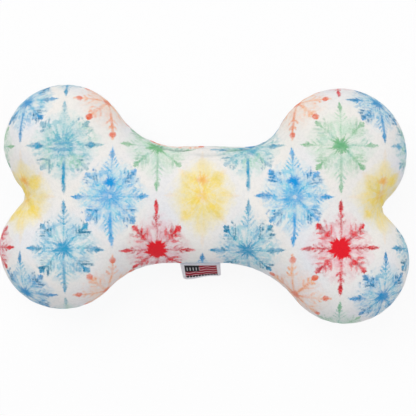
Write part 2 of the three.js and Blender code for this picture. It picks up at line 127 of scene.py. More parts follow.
class BoneShape(bpy.types.PropertyGroup):
    """The bone's outline and thickness"""

    lobe_span: size("Lobe span", "Between the left pair of lobes and the right pair", 171.6 * MM)
    left_lobe_pitch: size("Left lobe pitch", "Between the two left lobes", 61.1 * MM)
    right_lobe_pitch: size("Right lobe pitch", "Between the two right lobes", 64.7 * MM)
    left_pair_rise: size("Left pair rise", "Of the left pair above the shaft's centre line", 5.15 * MM)
    right_pair_rise: size("Right pair rise", "Of the right pair above the centre line", -1.75 * MM)
    left_pair_lean: size("Left pair lean", "By which the lower left lobe lies farther out", 2.1 * MM)
    right_pair_lean: size("Right pair lean", "By which the lower right lobe lies farther out", 3.4 * MM)
    upper_left_radius: size("Upper left radius", "Of the upper left lobe", 38.8 * MM)
    lower_left_radius: size("Lower left radius", "Of the lower left lobe", 39.3 * MM)
    upper_right_radius: size("Upper right radius", "Of the upper right lobe", 41.5 * MM)
    lower_right_radius: size("Lower right radius", "Of the lower right lobe", 39.7 * MM)
    shaft_width: size("Shaft width", "Across the bone's middle", 73 * MM)
    upper_left_flank: size("Upper left flank", "Radius of the hollow beside that lobe", 45.3 * MM)
    lower_left_flank: size("Lower left flank", "Radius of the hollow beside that lobe", 49.1 * MM)
    upper_right_flank: size("Upper right flank", "Radius of the hollow beside that lobe", 23.2 * MM)
    lower_right_flank: size("Lower right flank", "Radius of the hollow beside that lobe", 57.2 * MM)
    notch_radius: size("Notch radius", "Of the rounded bottom of the notch between two lobes", 7.5 * MM)
    notch_draw: size("Notch draw", "By which the stitching draws the cloth in below a notch", 3.4 * MM)
    left_notch_drop: size("Left notch drop", "Of the deepest draw below the left notch", 8 * MM)
    right_notch_drop: size("Right notch drop", "Of the deepest draw below the right notch", 6 * MM)
    notch_reach: size("Notch reach", "Of the draw along the outline", 9 * MM)
    notch_inner_reach: size("Notch inner reach", "Of the draw towards the shaft", 18 * MM)
    flat_draw: size("Flat draw", "By which the upper left lobe is flatter above its notch", 1.6 * MM)
    flat_rise: size("Flat rise", "Of that flat above the left notch", 15 * MM)
    flat_reach: size("Flat reach", "Of that flat along the outline", 5.3 * MM)
    shaft_depth: size("Shaft depth", "Thickness of the stuffed shaft", 55 * MM)
    lobe_depth: size("Lobe depth", "Thickness of the stuffed lobes", 62 * MM)
    shaft_stretch: share("Shaft stretch", "By which the stuffing stretches the fabric round the shaft", 0.13)
    side_steps: count("Side steps", "Columns of the fabric along each side of the outline", 400)
    roll_steps: count("Roll steps", "Rows of the fabric from the seam to the middle", 60)


class Sewing(bpy.types.PropertyGroup):
    """Fabric, seam and thread"""

    # How far a seam thread's middle lies over the allowance, and how far it dips and rises along a
    # stitch, in thread radii
    thread_lift_share = 1.8
    thread_dip_share = 0.6

    fabric_thickness: size("Fabric thickness", "With its pile", 1.6 * MM)
    seam_allowance: size("Seam allowance", "Turned inwards all round", 6 * MM)
    seam_gap: size("Seam gap", "Between the two panels at the seam", 0.3 * MM)
    groove_depth: size("Groove depth", "By which the seam draws in", 1.5 * MM)
    groove_reach: size("Groove reach", "How far from the seam the fabric draws in", 2.2 * MM)
    seam_shadow: size("Seam shadow", "How far from the seam the pile looks darker", 0.5 * MM)
    seam_rise: size("Seam rise", "Of the seam along the shaft's upper edge", 6.2 * MM)
    pucker_pitch: size("Pucker pitch", "Between gathers along the seam", 8.5 * MM)
    pucker_height: size("Pucker height", "Of the gathers beside the seam", 0.24 * MM)
    pleat_depth: size("Pleat depth", "Of the pleats that spread from each notch", 1.3 * MM)
    pleat_reach: size("Pleat reach", "Of those pleats from the notch", 9 * MM)
    pleats: count("Pleats", "In a full turn round a notch", 7)
    crease_depth: size("Crease depth", "Of the long creases beside the shaft's seam", 2.2 * MM)
    lump_height: size("Lump height", "Of the unevenness of the stuffing", 0.75 * MM)
    slack_share: share("Slack", "Share of the thickness before the stuffing swells the cloth", 0.975)
    swell_limit: size("Swell limit", "How far the stuffing may push the cloth out", 5 * MM)
    backing_share: share("Backing", "Share of the cloth's sinking that the stuffing holds back", 0.85)
    thread_radius: size("Thread radius", "Of the sewing thread", 0.3 * MM)
    thread_sides: count("Thread sides", "Steps round the thread", 8)
    stitch_inset: size("Stitch inset", "Of the lockstitch from the edge", 2.9 * MM)
    stitch_length: size("Stitch length", "Of the lockstitch", 3 * MM)
    closing_length: size("Closing length", "Of the stuffing gap that is sewn by hand", 34 * MM)
    closing_centre: size("Closing centre", "Of that gap from the middle of the shaft", 5.4 * MM)
    closing_pitch: size("Closing pitch", "Between the outer turns of the ladder stitch", 5.6 * MM)
    press: size("Press", "Softness of the edge where the toy lies flat", 0.3 * MM)
    ply_pitch: size("Ply pitch", "Between the windings of the thread's plies", 0.8 * MM)
    thread_color: color("Thread", "Colour of the sewing thread", "F1EEE8")


class LabelLook(bpy.types.PropertyGroup):
    """The folded woven label"""

    width: size("Width", "Of the ribbon", 24.8 * MM)
    reach: size("Reach", "Out of the seam", 15 * MM)
    sewn_in: size("Sewn in", "Inside the seam", 5.5 * MM)
    layer: size("Layer", "Thickness of one layer of the ribbon", 0.32 * MM)
    between: size("Between", "Gap between the two layers", 0.06 * MM)
    centre: size("Centre", "From the middle of the shaft", -2 * MM)
    corner: size("Corner", "Radius of the lower corners", 2.4 * MM)
    pivot_gap: size("Pivot gap", "Between the seam's edge and the bend", 0.75 * MM)
    bend: size("Bend", "Length over which the ribbon bends down", 2.4 * MM)
    left_droop: turn("Left droop", "Of the left edge below level", 50)
    right_droop: turn("Right droop", "Of the right edge below level", 60)
    taper_share: share("Taper", "By which the lower end is narrower", 0.05)
    slant: size("Slant", "Of the lower end to the right", 1.1 * MM)
    border_color: color("Border", "Of the ribbon", "F8F4F6")
    dark_color: color("Dark", "Of the dark panel and running line", "08070C")
    stripe_color: color("Stripe", "Of the coloured stripes", "A00F26")
    light_color: color("Light", "Of the pale stripes and ticks", "F6D2D6")


class Stuffing(bpy.types.PropertyGroup):
    """The wads of fibre"""

    voxel: size("Voxel", "Fineness of a wad's mesh", 1.4 * MM)
    gap: size("Gap", "Between a wad and the cover, its allowance or the thread", 0.8 * MM)
    tuft_height: size("Tuft height", "By which a wad's surface is drawn in", 1.1 * MM)
    tuft_pitch: size("Tuft pitch", "From one tuft to the next", 9 * MM)
    fibre_color: color("Fibre", "Colour of the polyester fibre", "F4F4F2")


class SqueakerLook(bpy.types.PropertyGroup):
    """The blow-moulded squeaker and its reed"""

    wall: size("Wall", "Of the blown plastic", 0.8 * MM)
    pleat_depth: size("Pleat depth", "Of the bellows", 1.8 * MM)
    pleat_count: count("Pleat count", "Folds of the bellows", 3)
    sides: count("Sides", "Steps round the squeaker", 96)
    body_color: color("Body", "Colour of the blown plastic", "E4E1D8")
    plug_color: color("Plug", "Colour of the reed's holder", "2E3136")
    reed_color: color("Reed", "Colour of the brass reed", "C9A35A")


# The kinds of flake in the print, in the order of their places in the repeat, with the colours of
# their arms, heart, wash and second tint
FLAKES = {
    "sun": ("FADC50", "F8B038", "FBEA9A", "F0D868"),
    "frost": ("2CA4D4", "008ECC", "B0DCE8", "54B6D4"),
    "feather": ("46AED2", "1296C4", "B0DCE6", "70C6D4"),
    "sage": ("6ABAC8", "1C9AC4", "B2DEDA", "94CEB2"),
    "river": ("3AB2E2", "0098DE", "B4E2EE", "6ECCE6"),
    "coral": ("F8B07A", "E8603E", "FBDFCB", "F49C66"),
    "ruby": ("C8102A", "E8041E", "F2BAC4", "D82A3E"),
    "fern": ("9CCFA6", "5CB070", "C8E6D0", "84C0AC"),
}

# How strong or large the parts of a flake are, for each kind in the same order
SHARES = {
    # Strength of the wash, the leaves, the arms and the brush strokes
    "wash": (1, 1, 0.9, 1, 0.95, 0.8, 1, 1),
    "leaf": (0.85, 0.2, 0.2, 0.4, 0.5, 0.25, 0.06, 0.25),
    "arm": (0.1, 1, 1, 0.7, 1, 1, 1, 0.8),
    "stroke": (0.4, 0.9, 0.95, 0.9, 0.5, 0.6, 0.55, 0.6),
    # Pitch and length of the barbs, and strength of the plates and of the lower arm's stem
    "barb_pitch": (0.5, 0.5, 0.6, 0.55, 0.5, 0.8, 0.8, 0.6),
    "barb_length": (0.35, 0.8, 0.9, 0.65, 0.95, 0.75, 0.62, 0.85),
    "plate": (0, 0.7, 0.8, 1, 0.45, 0, 0, 0),
    "lower_arm": (0, 0.8, 0.7, 1, 0.7, 0.3, 0.3, 0.3),
    # Strength of the small flower, the bare spot, the round tips, and the beads and studs
    "flower": (0.8, 0, 0, 0, 1, 0, 0, 0),
    "bare_spot": (0, 0, 0, 0, 0.5, 0, 0, 0),
    "round_tip": (0, 0, 0, 0, 0, 1, 0, 0),
    "node": (0, 0.5, 0.6, 0.15, 0.45, 0, 1, 0.35),
    # Size, strength and raggedness of the heart, and strength of the tips
    "heart": (0.6, 0.7, 0.75, 1.05, 0.95, 0.4, 0.8, 0.68),
    "heart_strength": (0.35, 0.9, 0.9, 0.62, 0.6, 0.6, 1, 0.85),
    "ragged": (0.7, 0.8, 0.9, 0.6, 0.8, 0.7, 0.5, 0.9),
    "tip": (0.1, 0.9, 0.9, 0.5, 0.8, 1, 1, 0.65),
    # Length and width of the leaves, thickness of the lines, and how much of the strokes shows
    "leaf_reach": (0.85, 0.75, 0.8, 0.95, 0.7, 0.6, 0.6, 0.6),
    "leaf_width": (1.6, 0.6, 0.7, 0.9, 1.2, 0.5, 0.4, 0.5),
    "thickness": (0.7, 0.85, 0.85, 0.8, 0.85, 1, 1.15, 0.75),
    "streak": (0.3, 0.6, 0.8, 1, 0.4, 0.4, 0.45, 0.6),
    # Strength of the hooks, the holes in the heart and the ink, and softness of the heart's rim
    "hook": (0, 0.9, 1, 0.55, 0.85, 0.1, 0.35, 0.3),
    "mottle": (0.3, 0.2, 0.2, 0.75, 0.35, 0, 0, 0.15),
    "ink": (0, 0.8, 0.85, 0.7, 0.6, 0, 0.7, 0.3),
    "soft": (1, 0.6, 0.6, 0.5, 0.6, 0.3, 0, 0.4),
    # Strength of the dabs and the gaps, and of the leaves that don't slant
    "dab": (0.2, 0.85, 0.8, 1, 0.9, 0.25, 0.45, 0.4),
    "gap": (0.4, 0.9, 0.9, 0.9, 0.9, 0.4, 0.4, 0.4),
    "cross": (0.6, 1, 1, 1, 1, 1, 1, 1),
}


class PrintLook(bpy.types.PropertyGroup):
    """The printed flakes and the pile of the plush"""

    column_pitch: size("Column pitch", "Between columns of flakes", 27.45 * MM)
    row_pitch: size("Row pitch", "Between a column's flakes and the next column's", 30.5 * MM)
    first_x: size("First flake X", "Place of the front panel's first flake", -110.4 * MM)
    first_y: size("First flake Y", "Place of the front panel's first flake", 4.7 * MM)
    back_shift_x: size("Back shift X", "Of the print on the back panel", 41 * MM)
    back_shift_y: size("Back shift Y", "Of the print on the back panel", -5 * MM)
    level_arm: size("Level arm", "Length of a flake's arm to the side", 23 * MM)
    slant_arm: size("Slant arm", "Length of a flake's slanting arm", 22.5 * MM)
    upright_arm: size("Upright arm", "Length of a flake's arm up or down", 28.6 * MM)
    line_width: size("Line width", "Of the painted lines of the print", 1.3 * MM)
    heart_radius: size("Heart radius", "Of the largest heart", 9 * MM)
    barb_pitch: size("Barb pitch", "Between the side branches of an arm", 5.6 * MM)
    barb_length: size("Barb length", "Of the longest side branches", 11 * MM)
    wander: size("Wander", "By which painted lines stray", 1.1 * MM)
    pile_size: size("Pile size", "From one tuft of the pile to the next", 0.55 * MM)
    pile_height: size("Pile height", "Of the pile's unevenness", 0.25 * MM)
    ground_color: color("Ground", "Colour of the unprinted plush", "F2EFE8")
    shade_color: color("Shade", "Of the cooler patches of the plush", "EBECEE")
    ink_color: color("Ink", "By which the darkest marks are darkened", "7CAAB0")


for kind, codes in FLAKES.items():
    for part, code in zip(("arms", "heart", "wash", "tint"), codes):
        PrintLook.__annotations__[f"{kind}_{part}"] = color(
            f"{kind.title()} {part}", f"Colour of the {part} of the {kind} flakes", code
        )


class StageLook(bpy.types.PropertyGroup):
    """Camera, light and floor"""

    lens: bpy.props.FloatProperty(
        name="Lens", description="Focal length in millimetres", default=100, min=1
    )
    view_width: size("View width", "Seen at the seam's level", 257.9 * MM)
    view_x: size("View X", "Place of the camera along the bone", 2.3 * MM)
    view_y: size("View Y", "Place of the camera across the bone", -2.3 * MM)
    floor_size: size("Floor size", "Side of the floor", 3000 * MM)
    floor_color: color("Floor", "Colour of the floor", "F4F4F5")
    floor_glow: share("Floor glow", "Share of the seen floor that is plain white", 0.9)
    sky_color: color("Sky", "Colour of the light from all round", "E4E8F4")
    lamp_color: color("Lamp", "Colour of the lamps", "FFFBF4")
    sky_light: share("Sky light", "Strength of the light from all round", 0.53)


# Shapes


def smooth(low, high, value):
    """Rises from 0 at low to 1 at high along the cubic 3t^2 - 2t^3."""
    t = np.clip((value - low) / (high - low), 0, 1)
    return t * t * (3 - 2 * t)


def ripples(points, pitch, seed, waves=14, unlike=0.3):
    """A smooth random field between about -1 and 1: a sum of plane waves in random directions and
    phases, with lengths unlike by up to a share, over the root of twice their number."""
    rng = np.random.default_rng(seed)
    ways = rng.normal(size=(waves, points.shape[-1]))
    stretch = rng.uniform(1 - unlike, 1 + unlike, (waves, 1))
    ways *= 2 * math.pi / pitch * stretch / np.linalg.norm(ways, axis=1)[:, None]
    phases = rng.uniform(0, 2 * math.pi, waves)
    return np.sin(points @ ways.T + phases).sum(-1) / math.sqrt(2 * waves)


def running_length(points):
    """The length along lines of points, up to each point."""
    steps = np.linalg.norm(np.diff(points, axis=-2), axis=-1)
    return np.concatenate([np.zeros((*steps.shape[:-1], 1)), np.cumsum(steps, -1)], -1)


class Arc:
    """A stretch of the outline on a circle. Bulge 1 is a lobe, with its centre inside the bone, and
    -1 a hollow, with its centre outside."""

    def __init__(self, centre, radius, start, end, bulge):
        self.centre, self.radius, self.start, self.end = np.array(centre), radius, start, end
        self.bulge = bulge
        self.length = abs(end - start) * radius

    def at(self, shares):
        """Points centre + radius (cos, sin) at shares of the angle, and their inward directions."""
        angle = self.start + (self.end - self.start) * np.asarray(shares)
        out = np.stack([np.cos(angle), np.sin(angle)], -1)
        return self.centre + self.radius * out, -self.bulge * out

    def foot(self, points):
        """The nearest place on the stretch: straight out from the centre, or else the nearer end."""
        away = points - self.centre
        spread = np.maximum(np.linalg.norm(away, axis=-1, keepdims=True), HAIR)
        low = min(self.start, self.end)
        turned = (np.arctan2(away[..., 1], away[..., 0]) - low) % (2 * math.pi)
        first, last = self.at([0.0, 1.0])[0]
        nearer = np.linalg.norm(points - first, axis=-1) < np.linalg.norm(points - last, axis=-1)
        end = np.where(nearer[..., None], first, last)
        within = turned <= abs(self.end - self.start)
        return np.where(within[..., None], self.centre + self.radius * away / spread, end)


class Straight:
    """A level stretch of the outline, with the bone below it."""

    def __init__(self, from_x, to_x, y):
        self.from_x, self.to_x, self.y = from_x, to_x, y
        self.length = abs(to_x - from_x)

    def at(self, shares):
        """Points on the line from one end to the other, and the direction down."""
        x = self.from_x + (self.to_x - self.from_x) * np.asarray(shares)
        points = np.stack([x, np.full_like(x, self.y)], -1)
        return points, np.broadcast_to([0.0, -1.0], points.shape)

    def foot(self, points):
        """The point straight above or below, kept between the two ends."""
        low, high = sorted((self.from_x, self.to_x))
        x = np.clip(points[..., 0], low, high)
        return np.stack([x, np.full_like(x, self.y)], -1)


class Outline:
    """The bone's edge seen from above, anticlockwise from the right notch: four lobes, the hollows
    beside and between them and the straight edges of the shaft, circles and lines that meet smoothly."""

    def __init__(self, shape, sewing, label):
        s = shape
        span, left, right = s.lobe_span / 2, s.left_lobe_pitch / 2, s.right_lobe_pitch / 2
        left_lean, right_lean = s.left_pair_lean / 2, s.right_pair_lean / 2
        lobes = {
            "upper_left": ([-span + left_lean, s.left_pair_rise + left], s.upper_left_radius),
            "lower_left": ([-span - left_lean, s.left_pair_rise - left], s.lower_left_radius),
            "upper_right": ([span - right_lean, s.right_pair_rise + right], s.upper_right_radius),
            "lower_right": ([span + right_lean, s.right_pair_rise - right], s.lower_right_radius),
        }
        self.edge = s.shaft_width / 2
        self.notch_radius = s.notch_radius
        self.left_hollow = self.hollow(lobes["upper_left"], lobes["lower_left"], -1)
        self.right_hollow = self.hollow(lobes["upper_right"], lobes["lower_right"], 1)
        self.left_notch = self.left_hollow + [s.notch_radius, 0]
        self.right_notch = self.right_hollow - [s.notch_radius, 0]
        low = np.min([np.array(centre) - radius for centre, radius in lobes.values()], axis=0)
        high = np.max([np.array(centre) + radius for centre, radius in lobes.values()], axis=0)
        self.middle = (low + high) / 2
        self.sides = []
        kept = ((sewing.closing_centre, sewing.closing_length), (label.centre, label.width))
        for flip, level, (middle, held) in zip((1, -1), ("upper", "lower"), kept):
            ends = []
            for end in ("right", "left"):
                centre, radius = lobes[f"{level}_{end}"]
                stop = middle + (held / 2 + sewing.seam_gap) * (1 if end == "right" else -1)
                lobe = (np.array(centre) * [1, flip], radius)
                flank = self.flank(lobe, getattr(s, f"{level}_{end}_flank"), stop)
                ends.append((lobe, flank))
            self.sides.append((flip, self.stretches(*ends, flip)))

    def hollow(self, upper, lower, side):
        """The centre of the notch's circle, which touches both lobes of an end. It is where the lobes'
        circles cross once their radii have grown by the notch's: along the line of centres by the
        radical axis' distance, and across it by the chord's half."""
        upper_centre, lower_centre = upper[0], lower[0]
        upper_radius, lower_radius = upper[1] + self.notch_radius, lower[1] + self.notch_radius
        line = np.subtract(lower_centre, upper_centre)
        pitch = np.linalg.norm(line)
        along = (upper_radius**2 - lower_radius**2 + pitch**2) / (2 * pitch)
        across = math.sqrt(upper_radius**2 - along**2) * side
        return upper_centre + (along * line + across * np.array([-line[1], line[0]])) / pitch

    def flank(self, lobe, radius, stop):
        """The circle that touches the shaft's straight edge and the lobe, no larger than one that
        would end on the edge at the place called stop."""
        (x, y), lobe_radius = lobe
        drop = self.edge - y
        room = abs(stop - x)
        largest = (room**2 - lobe_radius**2 + drop**2) / (2 * (lobe_radius - drop))
        radius = min(radius, largest)
        reach = math.sqrt((lobe_radius + radius) ** 2 - (drop + radius) ** 2)
        return (np.array([x + math.copysign(reach, stop - x), self.edge + radius]), radius)

    def stretches(self, right, left, flip):
        """One side's stretches from the right notch to the left one, as if it were the upper side."""
        (right_lobe, right_flank), (left_lobe, left_flank) = right, left

        def heading(start, end):
            return math.atan2(end[1] - start[1], end[0] - start[0])

        right_turn = heading(right_lobe[0], right_flank[0])
        left_turn = heading(left_lobe[0], left_flank[0])
        right_hollow, left_hollow = self.right_hollow * [1, flip], self.left_hollow * [1, flip]
        first = heading(right_hollow, right_lobe[0])
        last = heading(left_hollow, left_lobe[0])
        down = -math.pi / 2
        return [
            Arc(right_hollow, self.notch_radius, math.pi, first, -1),
            Arc(*right_lobe, first - math.pi, right_turn, 1),
            Arc(*right_flank, right_turn - math.pi, down, -1),
            Straight(right_flank[0][0], left_flank[0][0], self.edge),
            Arc(*left_flank, down, left_turn - math.pi, -1),
            Arc(*left_lobe, left_turn, last + math.pi, 1),
            Arc(left_hollow, self.notch_radius, last, 0, -1),
        ]

    def side_points(self, flip, pieces, shares):
        """Points and inward directions at shares of one side's length."""
        ends = np.cumsum([piece.length for piece in pieces])
        places = shares * ends[-1]
        found = np.minimum(np.searchsorted(ends, places), len(pieces) - 1)
        points = np.zeros((len(shares), 2))
        inward = np.zeros((len(shares), 2))
        for index, piece in enumerate(pieces):
            here = found == index
            rest = (places[here] - (ends[index] - piece.length)) / piece.length
            points[here], inward[here] = piece.at(np.clip(rest, 0, 1))
        return points * [1, flip], inward * [1, flip]

    def walk(self, steps):
        """The outline's points, twice steps of them, each with its inward direction."""
        shares = np.arange(steps + 1) / steps
        upper, lower = (self.side_points(flip, pieces, shares) for flip, pieces in self.sides)
        joined = [np.concatenate([up, down[1:-1][::-1]]) for up, down in zip(upper, lower)]
        points, inward = joined
        for index in (0, steps):
            mean = upper[1][index] + lower[1][index]
            inward[index] = mean / np.linalg.norm(mean)
        return points, inward

    def foot(self, points):
        """The nearest place on the whole outline."""
        best = None
        for flip, pieces in self.sides:
            for piece in pieces:
                place = piece.foot(points * [1, flip]) * [1, flip]
                gap = np.linalg.norm(points - place, axis=-1)
                if best is None:
                    best, least = place, gap
                nearer = gap < least
                best = np.where(nearer[..., None], place, best)
                least = np.where(nearer, gap, least)
        return best


class Bone:
    """The stuffed body as a surface of two numbers: a place along the outline, and a turn from -90
    degrees at the middle of the back, past 0 at the widest place, to 90 at the middle of the front."""

    # The share of the way from the seam to the core that the allowance and its threads fill
    ridge_share = 0.11
    # Where the allowance leaves the panel's inside, in thicknesses from the edge
    fold_share = 1.5
    # How much closer together the rows are near the seam: the power that their shares are raised to
    crowding = 1.35
    # The share of the outline over which the inward directions are averaged
    turning_share = 0.012
    # The coarse body that the stuffing swells: rows from the seam to the core, and steps along a side
    swell_rows = 12
    swell_steps = 84
    swell_frames = 20
    swell_pressure = 4
    # Where the raised seam fades out along the shaft, as shares of half the lobes' span, and its mean
    # height and swing as shares of its rise
    raised_shares = (0.62, 0.35)
    rise_shares = (0.75, 0.25)
    # How far beyond the label or the closing stitch the seam is shut, and how far it is fully open
    opening_ends = (3 * MM, MM)
    # The gathers' distance from a notch where they grow, their fading and their start beside the seam
    gather_growth = 14 * MM
    gather_fade = 6 * MM
    gather_start = 0.6 * MM
    # The waves that make the gathers uneven: size, number round the outline and shift between panels
    gather_strays = ((1.9, 11, 1), (1.3, 17, 2), (1, 29, 0))
    gather_swell = (0.65, 0.35, 23, 3)
    # Steps round the quarter ellipse along which the fabric is measured
    profile_steps = 200
    # How dark the painted shade of the seam and of the pleats is, beside that of a full crease
    seam_shade = 0.6
    pleat_shade = 0.4
    # The pleats' start from the notch, the turn from its middle at which they end, and their stray
    pleat_start = (MM, 4 * MM)
    pleat_ends = (1.8, 1.2)
    pleat_stray = 0.5
    # Where the lumps start from the seam, and each set's share, pitch and seed
    lump_start = (4 * MM, 22 * MM)
    lumps = ((0.7, 46 * MM, 7), (0.45, 21 * MM, 11))
    # The creases beside the shaft's upper seam: the shares of half the length where each is gone and
    # full, then the middle and half the length of each along the bone, its ends' distance from the
    # seam, its sag, its share of the full depth and its width
    crease_ends = (1, 0.4)
    creases = (
        (-20 * MM, 15 * MM, 3.6 * MM, 2.4 * MM, 1.0, 1.6 * MM),
        (20.5 * MM, 11 * MM, 3.4 * MM, 2.6 * MM, 1.0, 1.6 * MM),
        (38 * MM, 5 * MM, 3.8 * MM, 0.6 * MM, 0.7, 1.3 * MM),
        (5 * MM, 15 * MM, 9.8 * MM, 1.0 * MM, 0.3, 1.7 * MM),
    )

    def __init__(self, shape, sewing, label):
        self.shape, self.sewing, self.label = shape, sewing, label
        self.outline = Outline(shape, sewing, label)
        self.roll = shape.shaft_width / 2
        self.steps = shape.side_steps
        self.points, self.inward = self.outline.walk(self.steps)
        low, high = PANEL_BOX
        x, y = (low.x + high.x) / 2, (low.y + high.y) / 2
        self.offset = np.array([x, y, 0]) - [*self.outline.middle, shape.lobe_depth / 2 - high.z]
        self.profile = self.measure_profile()
        self.swelling = {1: None, -1: None}

    def half_depth(self, x):
        """Half the thickness where the toy is full: thinner along the shaft, thicker in the lobes."""
        s = self.shape
        bulge = smooth(0, s.lobe_span / 2, np.abs(x))
        return (s.shaft_depth + (s.lobe_depth - s.shaft_depth) * bulge) / 2

    def puff(self, points, inset):
        """Height over the seam's plane: a quarter of an ellipse, one roll across and half the
        thickness high, that rises from the outline."""
        gap = np.linalg.norm(points - self.outline.foot(points), axis=-1)
        part = np.clip((gap - inset) / (self.roll - inset), 0, 1)
        return (self.half_depth(points[..., 0]) - inset) * np.sqrt(1 - (1 - part) ** 2)

    def core(self, steps):
        """The line along the middle that the rows shrink to, closer together at its ends."""
        index = np.arange(2 * steps)
        step = np.where(index <= steps, index, 2 * steps - index)
        part = (1 - np.cos(math.pi * step / steps)) / 2
        start = self.outline.right_notch[0] - self.roll
        end = self.outline.left_notch[0] + self.roll
        return np.stack([start + (end - start) * part, np.zeros(2 * steps)], -1)

    def seam_turn(self, points):
        """The turn at which the seam lies: a little above the widest place along the shaft's upper
        edge, and level with it elsewhere."""
        half = self.shape.lobe_span / 2
        none, full = (-share_of * half for share_of in self.raised_shares)
        mean, swing = self.rise_shares
        upper = smooth(0, self.outline.edge, points[:, 1])
        upper *= smooth(none, full, -np.abs(points[:, 0]))
        wave = mean + swing * np.cos(2 * math.pi * points[:, 0] / half)
        return 2 * self.sewing.seam_rise / self.shape.shaft_depth * upper * wave

    @staticmethod
    def turns(seam, parts, side):
        """Turns at parts of the way from the seam's turn to a quarter turn on one side."""
        return seam[:, None] + (side * math.pi / 2 - seam)[:, None] * parts

    def rows(self, turns, inset, points=None, inward=None):
        """The surface at turns, one row of them for each point of the outline: each point slides
        from the outline to the core by the share 1 - cos turn, and lifts by the puff there."""
        points = self.points if points is None else points
        inward = self.inward if inward is None else inward
        slide = (1 - np.cos(turns))[..., None]
        core = self.core(len(points) // 2)
        start = points + inward * inset
        plan = start[:, None] * (1 - slide) + core[:, None] * slide
        height = self.puff(plan, inset) * np.sign(turns)
        return np.concatenate([self.drawn_in(plan), height[..., None]], -1)

    def drawn_in(self, plan):
        """Places in plan after the notches' stitching has drawn the cloth towards the shaft, by a
        bell-shaped share of the draw round a place below each notch, and one above the left notch."""
        s = self.shape
        left, right = self.outline.left_notch, self.outline.right_notch
        moved = plan.copy()
        for side, notch, rise, reach, draw in (
            (-1, left, -s.left_notch_drop, s.notch_reach, s.notch_draw),
            (1, right, -s.right_notch_drop, s.notch_reach, s.notch_draw),
            (-1, left, s.flat_rise, s.flat_reach, s.flat_draw),
        ):
            away = (plan - notch - [0, rise]) / [s.notch_inner_reach, reach]
            moved[..., 0] -= side * draw * np.exp(-(away**2).sum(-1) / 2)
        return moved

    def measure_profile(self):
        """The length of fabric from the crest to each share of the roll, from the middle depth of
        the body: the running length of a quarter ellipse."""
        angle = np.linspace(0, math.pi / 2, self.profile_steps)
        depth = (self.shape.shaft_depth + self.shape.lobe_depth) / 4
        across, up = self.roll * np.sin(angle), depth * np.cos(angle)
        length = np.concatenate([[0], np.cumsum(np.hypot(np.diff(across), np.diff(up)))])
        return 1 - np.sin(angle), length

    def flat_places(self, plan, turns, side):
        """Where each spot lay on the flat fabric: straight out from its place in plan by as much as
        the fabric from the crest is longer than the way in plan."""
        foot = self.outline.foot(plan)
        away = plan - foot
        gap = np.linalg.norm(away, axis=-1, keepdims=True)
        part = np.clip(gap[..., 0] / self.roll, 0, 1)
        shares, length = self.profile
        from_crest = np.interp(-part, -shares, length)
        past = turns * side < 0
        from_crest = np.where(past, 2 * length[-1] - from_crest, from_crest)
        half = self.shape.lobe_span / 2
        from_crest *= 1 - self.shape.shaft_stretch * smooth(-half, -half / 2, -np.abs(plan[..., 0]))
        extra = from_crest - self.roll * (1 - part)
        way = np.where(gap > HAIR, away / np.maximum(gap, HAIR), self.inward[:, None])
        return plan - way * extra[..., None]

    def swell(self):
        """Cloth pushed out by the stuffing: a coarse closed body, a little slack, with its seam held,
        is filled by pressure, and how far each point moved is kept for the fine rows. Movement is
        capped, and most of the sinking is held back."""
        rows = self.swell_rows
        points, inward = self.outline.walk(self.swell_steps)
        seam = self.seam_turn(points)
        parts = np.arange(rows + 1) / rows
        front, back = (self.turns(seam, parts, side) for side in (1, -1))
        turns = np.concatenate([front[:, ::-1], back[:, 1:]], 1)
        base = self.rows(turns, 0, points, inward)
        slack = base.copy()
        slack[..., 2] *= self.sewing.slack_share
        slack[:, rows, 2] = base[:, rows, 2]
        moved = self.filled(slack) - base
        far = np.linalg.norm(moved, axis=-1, keepdims=True)
        moved *= np.minimum(1, self.sewing.swell_limit / np.maximum(far, HAIR))
        for side, part in ((1, slice(rows, None, -1)), (-1, slice(rows, None))):
            shift, outward = moved[:, part], self.outward(base[:, part], side)
            sunk = np.minimum((shift * outward).sum(-1, keepdims=True), 0)
            self.swelling[side] = shift - sunk * self.sewing.backing_share * outward

    def filled(self, grid):
        """The coarse body's points after a Cloth with pressure has run on it, with the seam held."""
        columns, rings = grid.shape[:2]
        body = grid_object("swelling", grid.transpose(1, 0, 2), folded=True)
        places = ring_places(rings, columns, True)[0]
        held = body.vertex_groups.new(name="seam")
        held.add(places[rings // 2].tolist(), 1, "REPLACE")
        cloth = body.modifiers.new("Cloth", "CLOTH")
        cloth.settings.vertex_group_mass = held.name
        cloth.settings.use_pressure = True
        cloth.settings.uniform_pressure_force = self.swell_pressure
        cloth.settings.effector_weights.gravity = 0
        cloth.collision_settings.use_collision = False
        for number in range(1, self.swell_frames + 1):
            bpy.context.scene.frame_set(number)
        shaped = body.evaluated_get(bpy.context.evaluated_depsgraph_get())
        after = read_points(shaped.data, "co")[places]
        bpy.context.scene.frame_set(1)
        bpy.data.objects.remove(body)
        return after.transpose(1, 0, 2)

    def swollen(self, parts, side):
        """The kept movement at parts of the way from the seam to the core, by cubic interpolation."""
        moved = self.swelling[side]
        if moved is None:
            return 0
        places = np.arange(2 * self.steps) * self.swell_steps / self.steps
        along = catmull(places, 2 * self.swell_steps, True)
        across = catmull(parts * self.swell_rows, self.swell_rows + 1, False)
        return np.einsum("uik,vi->uvk", np.tensordot(along, moved, 1), across)

    def seam_opening(self):
        """Half the gap between the panels: wider where the label or the closing stitch lies."""
        s, label = self.sewing, self.label
        x, y = self.points.T
        half = np.full(len(x), s.seam_gap / 2)
        ribbon = label.layer + label.between / 2 + s.seam_gap / 2
        stitch = s.thread_radius + s.seam_gap / 2
        shut, open_by = self.opening_ends
        kept = ((-1, label.centre, label.width, ribbon), (1, s.closing_centre, s.closing_length, stitch))
        for side, middle, length, opening in kept:
            near = smooth(-length / 2 - shut, -length / 2 - open_by, -np.abs(x - middle)) * (y * side > 0)
            half = np.maximum(half, s.seam_gap / 2 + (opening - s.seam_gap / 2) * near)
        return half

